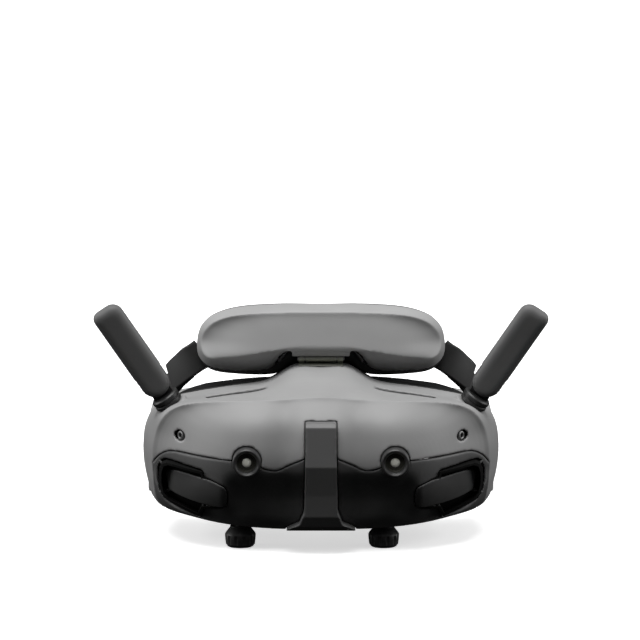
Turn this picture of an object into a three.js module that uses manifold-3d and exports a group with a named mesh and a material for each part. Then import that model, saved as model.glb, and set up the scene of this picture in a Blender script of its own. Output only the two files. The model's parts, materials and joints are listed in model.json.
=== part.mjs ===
// FPV goggles on a hinged forehead headband, in millimetres, +Z up.
// The front faces -Y, +X is to the right seen from the front, and the origin
// is under the middle of the object, on the surface that it stands on.
import * as THREE from "three";
import { mergeVertices } from "three/addons/utils/BufferGeometryUtils.js";
import Module from "manifold-3d";

const wasm = await Module();
wasm.setup();

// ---------- driving dimensions ----------
const GAP = 0.3; // clearance between neighbouring pieces
const WALL = 2.2; // housing wall
const REAR_Y = 70; // back rim of the front housing
const FACE_Z = 40; // height of the housing's middle
const EYE_Z = 43; // height of the optical axes
const EYE_X = { left: -36, right: 28 }; // eyepieces at the two ends of the 56 to 72 mm range
const IPD_TRAVEL = 8;
const CAMERA = { x: 32.6, z: 43.3, r: 6.3 };
const SCREW = { x: 62.7, z: 50.7, r: 2.2 };
const ROD = { r: 1.5, y: 50, upperZ: 61.5, lowerZ: 20.5, halfLength: 51 };
const BOARD = { y: 17.5, half: 37, thick: 1.6, z0: 24, z1: 58 }; // main board, front face at y
const FAN = { z: 37, r: 8.6, depth: 6.6 };
const NOSE = { front: 44, back: 76 }; // depth of the nose's room under the housing
const TUBE = { boreR: 15.2, r: 16.6, front: 32.4, back: 81 }; // eyepiece tube
const CELL_RING = { boreR: 12, r: 14.7, front: 70, back: 78 }; // ring that holds the eye lens
const RACK = { x0: 2.7, x1: 5.9, z: 24.5 }; // focus rack beside the knob's pinion
const KNOB = { y: 32, top: 9.4, r: 6.9, stemR: 2.4, pinionR: 2.2 };
const ANTENNA = { x: 74.5, y: 46, z: 72, lean: 33.4, forward: 10, r: 6.9, length: 41.5, thick: 8 };
const HINGE = { y: 66.5, z: 79.6, r: 2.2, half: 10, leafHalf: 7 };
const ORIGIN_Y = 150.85; // middle of the whole depth, measured from the eye domes
const ARM = { x: 78.2, z: 20, end: 231, thick: 3 };
const REAR = { z0: 0, z1: 34, wall: 2, mouth: 171 };
const ADJUST = { z: 18, r: 13.5, y: 296.6, depth: 8, shaftR: 4 };
const CELL = { z: 13, r: 7.1 };
const BUTTONS = [["power_button", 50, 274, 4], ["link_button", 64, 266, 2.6]]; // name, x, y, radius
const SEG = 16; // sides of a round piece

// ---------- materials ----------
const finish = (color, roughness, metalness = 0) =>
  new THREE.MeshStandardMaterial({ color, roughness, metalness });
const MATERIAL = {
  greyShell: finish(0x8d8d8d, 0.5),
  darkShell: finish(0x2b2b2b, 0.55),
  midGrey: finish(0x565656, 0.6),
  black: finish(0x161616, 0.6),
  foam: finish(0x121212, 0.95),
  glass: finish(0x9aa0a0, 0.05),
  steel: finish(0x8a8a84, 0.3, 1),
  board: finish(0x1c3a2a, 0.6),
  cell: finish(0x2f5f8f, 0.4),
};

const root = new THREE.Group();
root.position.y = -ORIGIN_Y;
const SIDES = [["left", -1], ["right", 1]];

// ---------- geometry to solids and back ----------
function solid(geometry) {
  const g = geometry.clone();
  for (const name of Object.keys(g.attributes)) if (name !== "position") g.deleteAttribute(name);
  const merged = mergeVertices(g, 1e-4);
  const position = merged.attributes.position.array;
  const index = new Uint32Array(merged.index.array);
  if (signedVolume(position, index) < 0) flip(index);
  return new wasm.Manifold(
    new wasm.Mesh({ numProp: 3, vertProperties: position, triVerts: index }),
  );
}

function signedVolume(p, index) {
  const a = new THREE.Vector3(), b = new THREE.Vector3(), c = new THREE.Vector3();
  let total = 0;
  for (let i = 0; i < index.length; i += 3) {
    a.fromArray(p, index[i] * 3);
    b.fromArray(p, index[i + 1] * 3);
    c.fromArray(p, index[i + 2] * 3);
    total += a.dot(b.cross(c));
  }
  return total;
}

function flip(index) {
  for (let i = 0; i < index.length; i += 3) {
    [index[i + 1], index[i + 2]] = [index[i + 2], index[i + 1]];
  }
}

function add(name, part, material) {
  const m = part.getMesh();
  const g = new THREE.BufferGeometry();
  g.setAttribute("position", new THREE.BufferAttribute(m.vertProperties, 3));
  g.setIndex(new THREE.BufferAttribute(m.triVerts, 1));
  const mesh = new THREE.Mesh(g, material.clone());
  mesh.name = name;
  root.add(mesh);
}

const join = (...parts) => parts.reduce((a, b) => a.add(b));
const cut = (part, ...tools) => tools.reduce((a, b) => a.subtract(b), part);

// ---------- basic shapes ----------
const box = (x0, x1, y0, y1, z0, z1) =>
  solid(
    new THREE.BoxGeometry(x1 - x0, y1 - y0, z1 - z0)
      .translate((x0 + x1) / 2, (y0 + y1) / 2, (z0 + z1) / 2),
  );

// A cylinder from point a to point b.
function rod(a, b, r, segments = SEG) {
  const from = new THREE.Vector3(...a), to = new THREE.Vector3(...b);
  const axis = to.clone().sub(from);
  const g = new THREE.CylinderGeometry(r, r, axis.length(), segments);
  g.applyQuaternion(
    new THREE.Quaternion().setFromUnitVectors(new THREE.Vector3(0, 1, 0), axis.normalize()),
  );
  return solid(g.translate(...from.add(to).multiplyScalar(0.5)));
}

// A profile of [radius, height] points turned about an axis through a point.
function turned(profile, centre, axis = [0, 1, 0], segments = SEG) {
  const g = new THREE.LatheGeometry(profile.map(([r, h]) => new THREE.Vector2(r, h)), segments);
  g.applyQuaternion(
    new THREE.Quaternion().setFromUnitVectors(
      new THREE.Vector3(0, 1, 0), new THREE.Vector3(...axis).normalize()),
  );
  return solid(g.translate(...centre));
}

const outline = (points) => new THREE.Shape(points.map(([a, b]) => new THREE.Vector2(a, b)));

// An outline of [x, z] points pushed from y0 to y1.
function alongY(points, y0, y1) {
  const g = new THREE.ExtrudeGeometry(outline(points), { depth: y1 - y0, bevelEnabled: false });
  return solid(g.rotateX(Math.PI / 2).translate(0, y1, 0));
}

// An outline of [x, y] points pushed from z0 to z1.
function alongZ(points, z0, z1) {
  const g = new THREE.ExtrudeGeometry(outline(points), { depth: z1 - z0, bevelEnabled: false });
  return solid(g.translate(0, 0, z0));
}

// An outline of [y, z] points pushed from x0 to x1.
function alongX(points, x0, x1) {
  const g = new THREE.ExtrudeGeometry(outline(points), { depth: x1 - x0, bevelEnabled: false });
  return solid(g.rotateY(Math.PI / 2).rotateX(Math.PI / 2).translate(x0, 0, 0));
}

// A closed skin through rings with the same number of points, with a point at each end.
function skin(rings, first, last) {
  const count = rings[0].length;
  const points = [first, ...rings.flat(), last];
  const index = [];
  const at = (ring, i) => 1 + ring * count + (i % count);
  for (let i = 0; i < count; i++) index.push(0, at(0, i), at(0, i + 1));
  for (let k = 0; k + 1 < rings.length; k++) {
    for (let i = 0; i < count; i++) {
      index.push(at(k, i), at(k + 1, i), at(k + 1, i + 1));
      index.push(at(k, i), at(k + 1, i + 1), at(k, i + 1));
    }
  }
  const end = points.length - 1;
  for (let i = 0; i < count; i++) index.push(end, at(rings.length - 1, i + 1), at(rings.length - 1, i));
  const g = new THREE.BufferGeometry();
  g.setAttribute("position", new THREE.Float32BufferAttribute(points.flat(), 3));
  g.setIndex(index);
  return solid(g);
}

const mirror = (points, side) => points.map(([x, ...rest]) => [x * side, ...rest]);
const both = (half) => [...half, ...half.slice(1, -1).reverse().map(([x, ...rest]) => [-x, ...rest])];
const mix = (a, b, t) => a + (b - a) * t;

// A smooth value through [key, value] pairs.
function spline(pairs) {
  return (key) => {
    let i = 0;
    while (i < pairs.length - 2 && key > pairs[i + 1][0]) i++;
    const slope = (j) => {
      const a = pairs[Math.max(0, j - 1)], b = pairs[Math.min(pairs.length - 1, j + 1)];
      return (b[1] - a[1]) / (b[0] - a[0]);
    };
    const [k0, v0] = pairs[i], [k1, v1] = pairs[i + 1];
    const h = k1 - k0, t = Math.min(1, Math.max(0, (key - k0) / h));
    return (2 * t ** 3 - 3 * t ** 2 + 1) * v0 + (t ** 3 - 2 * t ** 2 + t) * h * slope(i) +
      (-2 * t ** 3 + 3 * t ** 2) * v1 + (t ** 3 - t ** 2) * h * slope(i + 1);
  };
}

// ---------- front housing ----------
// Half outlines, top middle to bottom middle: the front edge as x, z, y and the back rim as x, z.
const FRONT_EDGE = [
  [0, 70.5, 13], [14, 69.3, 14.5], [30, 68.5, 15], [45, 67.8, 18], [58, 66, 24], [66, 62.5, 31],
  [71, 57, 37], [74, 50, 42], [75.5, 42, 44], [75.3, 33, 45], [73.5, 25, 43], [69, 18.5, 39],
  [59.5, 14.5, 31], [45, 11.8, 24.5], [28, 10.3, 21], [12, 9.6, 20.5], [0, 9.2, 20],
];
const BACK_RIM = [
  [0, 77], [12, 76.8], [24, 69.8], [42, 66.7], [57, 64.2], [68, 61.6], [75.4, 57.4], [79.4, 50],
  [80.6, 41.5], [80.3, 33], [78.8, 25], [76.4, 17], [70, 12.5], [50, 11.4], [28, 10.8], [12, 10.3],
  [0, 10],
];
const PLAN = spline([
  [0, 1.5], [8, 2], [16, 5], [26, 3], [34, 3], [45, 6.5], [56, 13], [66, 22], [72, 31], [76, 40],
]);
const RISE_SIDE = spline([
  [9, 17], [14, 11], [20, 6.5], [28, 2.5], [36, 0.5], [44, 0], [52, 0.8], [60, 2.4], [66, 5.6], [70, 9],
]);
// Between the cameras the face turns sharply under, and stands upright again as a chin.
const RISE_MIDDLE = spline([
  [9, 17], [12, 12.6], [15, 11], [20, 10.4], [26, 9.2], [31, 6.2], [35, 2.6], [38.5, 0.6], [44, 0],
  [52, 0.8], [60, 2.4], [66, 5.6], [70, 9],
]);
const UNDERCUT = { from: 36, width: 9 };

function frontY(x, z) {
  const t = Math.min(1, Math.max(0, (Math.abs(x) - UNDERCUT.from) / UNDERCUT.width));
  return PLAN(Math.abs(x)) + mix(RISE_MIDDLE(z), RISE_SIDE(z), t * t * (3 - 2 * t));
}

const EDGE = both(FRONT_EDGE);
const RIM = both(BACK_RIM);

// The ring at share t of the way from the middle of the face to its front edge.
function faceRing(t, inset = 0) {
  return EDGE.map(([ex, ez, ey]) => {
    const reach = Math.hypot(ex, ez - FACE_Z);
    const share = t * (1 - inset / reach);
    const x = ex * share, z = FACE_Z + (ez - FACE_Z) * share;
    const y = mix(frontY(ex * t, FACE_Z + (ez - FACE_Z) * t), ey, t ** 6);
    return [x, y + inset, z];
  });
}

// The ring at share s of the way from the front edge to the back rim.
function wallRing(s, inset = 0) {
  const turn = 1 - (1 - s) ** 2;
  return RIM.map(([rx, rz], i) => {
    const [ex, ez, ey] = EDGE[i];
    const x = mix(ex, rx, turn), z = mix(ez, rz, turn);
    const share = 1 - inset / Math.hypot(x, z - FACE_Z);
    const y = mix(ey, REAR_Y, s) + inset * (1 - s);
    return [x * share, y, FACE_Z + (z - FACE_Z) * share];
  });
}

const FACE_STEPS = [0.2, 0.4, 0.6, 0.8, 0.92, 1];
const WALL_STEPS = [0.3, 1];
const housing = skin(
  [
    ...FACE_STEPS.map((t) => faceRing(t)),
    ...WALL_STEPS.map((s) => wallRing(s)),
    ...WALL_STEPS.slice().reverse().map((s) => wallRing(s, WALL)),
    ...FACE_STEPS.slice().reverse().map((t) => faceRing(t, WALL)),
  ],
  [0, frontY(0, FACE_Z), FACE_Z],
  [0, frontY(0, FACE_Z) + WALL, FACE_Z],
);

// The line between the grey upper shell and the dark lower shell.
const SPLIT = [
  [14, 41], [19.8, 38.5], [26, 40], [32.6, 43.3], [40, 43], [51.4, 43.4], [62, 43.4], [68, 42.4],
  [72.4, 39.4], [74.9, 34], [75.6, 27.4], [74.4, 20.4], [70, 14.6],
];
const lowerRegion = alongY(
  both([[0, 44.5], ...SPLIT, [70, 5], [0, 5]]), -10, REAR_Y + 1,
);
const lowerRegionWide = alongY(
  both([[0, 44.5 + GAP], ...SPLIT.map(([x, z]) => [x + (x > 69 ? GAP : 0), z + GAP]), [70.3, 4], [0, 4]]),
  -11, REAR_Y + 2,
);

// The slot for the bar between the eyes, and the bar itself.
const BAR_OUTLINE = [
  [0, 60.7], [6.8, 60.7], [6.8, 48], [7.4, 20], [9.5, 14.2], [15, 11.2], [15.5, 9.6], [0, 9.6],
];
const BAR_SIDE = [
  [1.2, 60.9], [-1.3, 59], [-2.4, 41.4], [2.2, 28], [4.6, 18], [8.4, 12.9], [14.5, 10.2], [22, 10.2],
  [17, 14], [15.8, 20], [13.6, 28], [8, 38], [7.6, 60.9],
];
// The bar's block, grown to leave a gap round it, and opened below to cut through the underside.
function barBlock(grow) {
  const top = BAR_OUTLINE[0][1], foot = BAR_OUTLINE.at(-1)[1];
  const height = (z) => {
    if (z === foot) return z - 5 * grow;
    return z === top ? z + grow : z;
  };
  return alongY(both(BAR_OUTLINE.map(([x, z]) => [x && x + grow, height(z)])), -6, 24);
}
const noseBar = barBlock(0).intersect(alongX(BAR_SIDE, -20, 20));

// The intake opening in the lower shell and the plate that stands in it, for the right side.
const INTAKE = [
  [52, 37.4], [66, 39], [69.4, 38.9], [71.8, 37.4], [73, 34], [73.3, 28], [72.2, 23], [69.6, 20],
  [62, 16.9], [54, 14.3], [51.8, 18.5], [43, 20], [40.8, 25], [41.2, 31.5], [51.4, 35],
];
const PLATE = [
  [68, 34.5], [52.3, 34], [44.5, 31.6], [42, 29.4], [41.5, 24], [43.5, 20.8], [52.3, 21.4],
  [60, 22.6], [67.3, 24.8], [68.2, 27],
];
const inset = (points, by) => {
  const cx = points.reduce((s, p) => s + p[0], 0) / points.length;
  const cz = points.reduce((s, p) => s + p[1], 0) / points.length;
  return points.map(([x, z]) => {
    const reach = Math.hypot(x - cx, z - cz);
    return [cx + (x - cx) * (1 - by / reach), cz + (z - cz) * (1 - by / reach)];
  });
};

// A slab that follows the front surface, from depth d0 to depth d1 behind it.
function slab(x0, x1, z0, z1, d0, d1, steps = 8) {
  const front = [], back = [];
  for (let i = 0; i <= steps; i++) {
    for (let k = 0; k <= 3; k++) {
      const x = mix(x0, x1, i / steps), z = mix(z0, z1, k / 3);
      front.push([x, frontY(x, z) + d0, z]);
      back.push([x, frontY(x, z) + d1, z]);
    }
  }
  const points = [...front, ...back], n = front.length, index = [];
  const quad = (a, b, c, d) => index.push(a, b, c, a, c, d);
  const at = (i, k) => i * 4 + k;
  for (let i = 0; i < steps; i++) {
    for (let k = 0; k < 3; k++) {
      quad(at(i, k), at(i + 1, k), at(i + 1, k + 1), at(i, k + 1));
      quad(n + at(i, k), n + at(i, k + 1), n + at(i + 1, k + 1), n + at(i + 1, k));
    }
    quad(at(i, 0), n + at(i, 0), n + at(i + 1, 0), at(i + 1, 0));
    quad(at(i, 3), at(i + 1, 3), n + at(i + 1, 3), n + at(i, 3));
  }
  for (let k = 0; k < 3; k++) {
    quad(at(0, k), at(0, k + 1), n + at(0, k + 1), n + at(0, k));
    quad(at(steps, k), n + at(steps, k), n + at(steps, k + 1), at(steps, k + 1));
  }
  const g = new THREE.BufferGeometry();
  g.setAttribute("position", new THREE.Float32BufferAttribute(points.flat(), 3));
  g.setIndex(index);
  return solid(g);
}

// ---------- antenna directions ----------
function antennaFrame(side) {
  const lean = THREE.MathUtils.degToRad(ANTENNA.lean);
  const forward = THREE.MathUtils.degToRad(ANTENNA.forward);
  const u = new THREE.Vector3(
    side * Math.sin(lean) * Math.cos(forward), -Math.sin(forward), Math.cos(lean) * Math.cos(forward));
  const h = new THREE.Vector3(0, -1, 0).addScaledVector(u, u.y).normalize();
  const w = new THREE.Vector3().crossVectors(u, h).multiplyScalar(side);
  const pivot = new THREE.Vector3(side * ANTENNA.x, ANTENNA.y, ANTENNA.z);
  const at = (a, b = 0, c = 0) =>
    pivot.clone().addScaledVector(u, a).addScaledVector(w, b).addScaledVector(h, c).toArray();
  return { at, matrix: new THREE.Matrix4().makeBasis(w, u, h).setPosition(pivot) };
}

// An outline of [w, u] points in the antenna's own frame, pushed from h0 to h1 along its hinge pin.
function antennaPlate(frame, points, h0, h1) {
  const g = new THREE.ExtrudeGeometry(outline(points), { depth: h1 - h0, bevelEnabled: false });
  return solid(g.translate(0, 0, h0).applyMatrix4(frame.matrix));
}

const arc = (r, from, to, steps, cx = 0, cy = 0) =>
  Array.from({ length: steps + 1 }, (_, i) => {
    const a = THREE.MathUtils.degToRad(mix(from, to, i / steps));
    return [cx + r * Math.cos(a), cy + r * Math.sin(a)];
  });

const COLLAR = { from: -12.2, to: -7.4, r: 6.4, stem: 3.4, root: -20 };

// ---------- cuts in the front housing ----------
function housingCuts() {
  const tools = [barBlock(GAP)];
  for (const [, side] of SIDES) {
    const f = antennaFrame(side);
    tools.push(rod([side * CAMERA.x, -8, CAMERA.z], [side * CAMERA.x, 12, CAMERA.z], CAMERA.r + GAP));
    tools.push(rod([side * SCREW.x, 5, SCREW.z], [side * SCREW.x, 40, SCREW.z], SCREW.r + GAP));
    tools.push(rod(f.at(-30), f.at(0), COLLAR.stem + GAP));
    tools.push(alongZ(
      mirror([[24, 43], [51, 39.5], [51.5, 45.5], [24.5, 49.2]], side), 60, 75));
    tools.push(rod(f.at(COLLAR.from - GAP), f.at(0), COLLAR.r + GAP));
  }
  return tools;
}

const knobSlots = Object.values(EYE_X).map((x) => {
  const reach = KNOB.stemR + 1;
  return box(x - reach, x + IPD_TRAVEL + reach, KNOB.y - reach, KNOB.y + reach, 4, 18);
});

// The nose's room, cut from the back of the underside.
const noseRoom = (grow) => skin(
  [
    both([[0, -26], [3 + grow, -26], [3 + grow, 12 + grow], [0, 14 + grow]])
      .map(([x, z]) => [x, NOSE.front - grow, z]),
    both([[0, -26], [15 + grow, -26], [12 + grow, 20 + grow], [0, 33 + grow]])
      .map(([x, z]) => [x, NOSE.back, z]),
  ],
  [0, NOSE.front - grow, 0],
  [0, NOSE.back, 0],
);

function makeHousing() {
  const tools = housingCuts();
  const boss = ([, side]) => {
    const f = antennaFrame(side);
    return rod(f.at(-17), f.at(COLLAR.from - GAP), COLLAR.r + 1.2);
  };
  const whole = join(housing, ...SIDES.map(boss));
  const intakes = SIDES.map(([, side]) => alongY(mirror(INTAKE, side), -5, 62));
  add("front_shell_upper", cut(whole, lowerRegionWide, ...tools, noseRoom(GAP)), MATERIAL.greyShell);
  const lower = whole.intersect(lowerRegion);
  add(
    "front_shell_lower",
    cut(lower, ...tools, ...knobSlots, ...intakes, noseRoom(GAP)),
    MATERIAL.darkShell,
  );
  add("nose_bar", noseBar, MATERIAL.midGrey);
}
makeHousing();

// ---------- pieces on the front ----------
function makeCamera(name, side) {
  const at = [side * CAMERA.x, 0, CAMERA.z];
  const r = CAMERA.r;
  add(`camera_bezel_${name}`, turned([
    [4.5, 8], [4.5, 1], [4.2, -1.4], [5, -2.9], [r - 0.5, -2.9], [r, -2.4], [r, 8], [4.5, 8],
  ], at), MATERIAL.darkShell);
  add(`camera_lens_${name}`, turned([
    [0, -1.4], [2, -1.2], [3.9, -0.3], [3.9, 7], [0, 7],
  ], at), MATERIAL.glass);
  add(`camera_module_${name}`, box(
    side * CAMERA.x - 5, side * CAMERA.x + 5, 9.2, 12.8, CAMERA.z - 5, CAMERA.z + 5,
  ), MATERIAL.black);
}

function makeScrew(name, side) {
  const y = frontY(SCREW.x, SCREW.z) + 0.6;
  const head = turned([
    [0, 5], [0, 0.8], [0.9, 0.8], [0.9, 0], [SCREW.r, 0], [SCREW.r, 5], [0, 5],
  ], [side * SCREW.x, y, SCREW.z]);
  add(`housing_screw_${name}`, head, MATERIAL.steel);
}

function makeIntake(name, side) {
  const plate = slab(side * 40, side * 70, 19, 36, -1.6, 0.4)
    .intersect(alongY(mirror(PLATE, side), -6, 60));
  const vane = (x0, z0, x1, z1) => {
    const dx = x1 - x0, dz = z1 - z0, l = Math.hypot(dx, dz);
    const nx = (-dz / l) * 0.5, nz = (dx / l) * 0.5;
    return alongY(mirror(
      [[x0 + nx, z0 + nz], [x1 + nx, z1 + nz], [x1 - nx, z1 - nz], [x0 - nx, z0 - nz]], side), 0, 60)
      .intersect(slab(side * 40, side * 74, 14, 41, -0.8, 1.9));
  };
  const vanes = [vane(66.5, 32, 71, 36.2), vane(66, 25.3, 71.4, 23.2), vane(53, 23, 54.3, 16.2)];
  add(`intake_plate_${name}`, join(plate, ...vanes), MATERIAL.darkShell);

  const tray = alongY(mirror(inset(INTAKE, 0.7), side), 0, 70)
    .intersect(slab(side * 39, side * 75, 12, 42, 2.2, 10.5));
  const hollow = alongY(mirror(inset(INTAKE, 2), side), 0, 70)
    .intersect(slab(side * 39, side * 75, 12, 42, 0, 9.2));
  const ports = [0, 1, 2].map((i) => alongY(
    mirror([[54 + i * 4.6, 24], [57 + i * 4.6, 24], [57 + i * 4.6, 34], [54 + i * 4.6, 34]], side), 0, 70));
  add(`intake_duct_${name}`, cut(tray, hollow, ...ports), MATERIAL.black);
}

function makeTopVent(name, side) {
  const frame = alongZ(mirror([[24.4, 43.4], [50.7, 40], [51.1, 45.2], [24.8, 48.7]], side), 64.4, 65.6);
  const slots = Array.from({ length: 6 }, (_, i) => {
    const x = 26.4 + i * 4, y = 43.4 - i * 0.52;
    const middle = side * (x + 0.8);
    return box(middle - 0.8, middle + 0.8, y, y + 4, 60, 70);
  });
  add(`top_vent_grille_${name}`, cut(frame, ...slots), MATERIAL.black);
}

function makeAntenna(name, side) {
  const f = antennaFrame(side);
  const { from, to, r, stem, root: deep } = COLLAR;
  const collar = join(
    rod(f.at(from), f.at(to), r),
    rod(f.at(deep), f.at(from + 0.5), stem),
    antennaPlate(f, [[-4.6, to - 0.5], [4.6, to - 0.5], ...arc(4.6, 0, 180, 6)], -1.5, 1.5),
  );
  const pinHole = rod(f.at(0, 0, -3.3), f.at(0, 0, 3.3), 1.7, 10);
  add(`antenna_socket_${name}`, cut(collar, pinHole), MATERIAL.black);

  const half = ANTENNA.thick / 2, l = ANTENNA.length, R = ANTENNA.r;
  const bladeOutline = [
    ...arc(R, 180, 360, 10), ...arc(3, 0, 90, 3, R - 3, l - 3), ...arc(3.6, 90, 180, 3, 3.6 - R, l - 3.6),
  ];
  const blade = antennaPlate(f, bladeOutline, -half, half);
  const slot = antennaPlate(
    f, [[-R - 1, -R - 1], [R + 1, -R - 1], [R + 1, 5.6], [-R - 1, 5.6]], -1.8, 1.8);
  add(`antenna_blade_${name}`, cut(blade, slot, pinHole), MATERIAL.midGrey);
  add(`antenna_pin_${name}`, rod(f.at(0, 0, -3.1), f.at(0, 0, 3.1), 1.4, 10), MATERIAL.steel);
}

// ---------- inside ----------
function makeInside() {
  const { y, half, thick, z0, z1 } = BOARD;
  const board = box(-half, half, y, y + thick, z0, z1);
  const barNotch = box(-8, 8, y - 5, y + 5, z0 - 1, z0 + 4);
  add("main_board", cut(board, barNotch), MATERIAL.board);
  const sinkY = y + thick + GAP;
  const fins = Array.from({ length: 7 }, (_, i) => {
    const x = -16 + i * 5;
    return box(x, x + 1.6, sinkY + 1, sinkY + 3.4, z1 - 8, z1);
  });
  add("heat_sink", join(box(-16, 15.6, sinkY, sinkY + 1.2, z1 - 8, z1), ...fins), MATERIAL.steel);

  const at = [0, y + thick + 2 * GAP, FAN.z];
  const { r, depth } = FAN;
  add("fan_frame", join(
    turned([[r, 0], [r, depth], [r + 1.2, depth], [r + 1.2, 0], [r, 0]], at),
    box(-r - 0.5, r + 0.5, at[1], at[1] + 1, FAN.z - 1, FAN.z + 1),
    turned([[0, 0], [2.4, 0], [2.4, 1.4], [0, 1.4]], at, [0, 1, 0], 12),
  ), MATERIAL.black);
  const blades = Array.from({ length: 7 }, (_, i) => {
    const g = new THREE.BoxGeometry(5.2, 3.4, 0.7);
    g.rotateX(0.5).translate(5.2, 4, 0).rotateY((i / 7) * Math.PI * 2).translate(...at);
    return solid(g);
  });
  const hub = turned([[0, 1.8], [3.2, 1.8], [3.2, 6], [0, 6]], at, [0, 1, 0], 14);
  add("fan_rotor", join(hub, ...blades), MATERIAL.black);
  for (const [name, z] of [["upper", ROD.upperZ], ["lower", ROD.lowerZ]]) {
    add(`slide_rod_${name}`, rod([-ROD.halfLength, ROD.y, z], [ROD.halfLength, ROD.y, z], ROD.r, 10),
      MATERIAL.steel);
  }
}

// ---------- eyepieces ----------
function makeEyepiece(name) {
  const x = EYE_X[name];
  const { boreR, r: tubeR, front, back } = TUBE;
  const tube = turned([
    [boreR, front + 1.6], [boreR, back], [tubeR, back], [tubeR, front], [8.6, front],
    [8.6, front + 1.6], [boreR, front + 1.6],
  ], [x, 0, EYE_Z]);
  const bore = turned([[0, 60], [boreR - 0.01, 60], [boreR - 0.01, 90], [0, 90]], [x, 0, EYE_Z]);
  const lug = (z0, z1) => box(x - 6, x + 6, ROD.y - 3.4, ROD.y + 3.4, z0, z1);
  const arm = box(x - 5, x + 5, 28.6, 36, 17, 20.5);
  const bracket = box(x - 4.6, x + 2.2, 33.5, 36, 17.5, 30);
  const rackSlot = box(x + 2.2, x + 6.4, 38, 90, 20, 32);
  const whole = join(tube, lug(57.5, ROD.upperZ + 2.7), lug(ROD.lowerZ - 3, 28.5), arm, bracket);
  add(`eyepiece_barrel_${name}`, cut(
    whole,
    rackSlot,
    rod([x - 20, ROD.y, ROD.upperZ], [x + 20, ROD.y, ROD.upperZ], ROD.r + GAP, 10),
    rod([x - 20, ROD.y, ROD.lowerZ], [x + 20, ROD.y, ROD.lowerZ], ROD.r + GAP, 10),
    rod([x, KNOB.y, 10], [x, KNOB.y, 28.5], KNOB.stemR + GAP, 10),
    bore,
  ), MATERIAL.black);
  add(`display_${name}`, box(x - 6.5, x + 6.5, 29.4, 32.1, EYE_Z - 5, EYE_Z + 5), MATERIAL.glass);

  const cell = CELL_RING;
  const ring = turned([
    [cell.boreR, cell.front], [cell.boreR, cell.back], [cell.r, cell.back], [cell.r, cell.front],
    [cell.boreR, cell.front],
  ], [x, 0, EYE_Z]);
  const rackBar = (y0, y1, z0, z1) => box(x + RACK.x0, x + RACK.x1, y0, y1, z0, z1);
  const ringFoot = EYE_Z - cell.boreR - 0.6;
  const rack = join(
    rackBar(26, 68.5, RACK.z, RACK.z + 1.8),
    rackBar(64.5, 68.5, RACK.z, ringFoot),
    rackBar(64.5, cell.front + 2, RACK.z + 2.5, ringFoot),
  );
  const lensBore = turned([
    [0, 60], [cell.boreR + 0.01, 60], [cell.boreR + 0.01, 90], [0, 90],
  ], [x, 0, EYE_Z]);
  add(`lens_cell_${name}`, cut(join(ring, rack), lensBore), MATERIAL.black);
  add(`eye_lens_${name}`, turned([
    [0, 70.6], [7, 71.4], [11.7, 73], [11.7, 74.6], [7, 76.4], [0, 77.2],
  ], [x, 0, EYE_Z]), MATERIAL.glass);

  const knob = turned([
    [0, 0], [5.7, 0], [6.5, 1.3], [KNOB.r, 5.8], [4.7, 8.8], [4.7, KNOB.top], [KNOB.stemR, KNOB.top],
    [KNOB.stemR, 23.2], [KNOB.pinionR, 23.2], [KNOB.pinionR, 27.2], [0, 27.2],
  ], [x, KNOB.y, 0], [0, 0, 1]);
  const grips = Array.from({ length: 10 }, (_, i) => {
    const a = ((i + 0.5) / 10) * Math.PI * 2;
    const px = x + 7.1 * Math.cos(a), py = KNOB.y + 7.1 * Math.sin(a);
    return rod([px, py, 0.9], [px, py, 5.4], 0.7, 6);
  });
  add(`focus_knob_${name}`, cut(knob, ...grips), MATERIAL.black);
}

// ---------- back of the goggles ----------
const rimOutline = (shrink) => RIM.map(([x, z]) => {
  const share = 1 - shrink / Math.hypot(x, z - FACE_Z);
  return [x * share, FACE_Z + (z - FACE_Z) * share];
});
const NOSE_NOTCH = [[-18, 0], [-14.5, 14], [-9, 27], [0, 34.5], [9, 27], [14.5, 14], [18, 0]];

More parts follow.
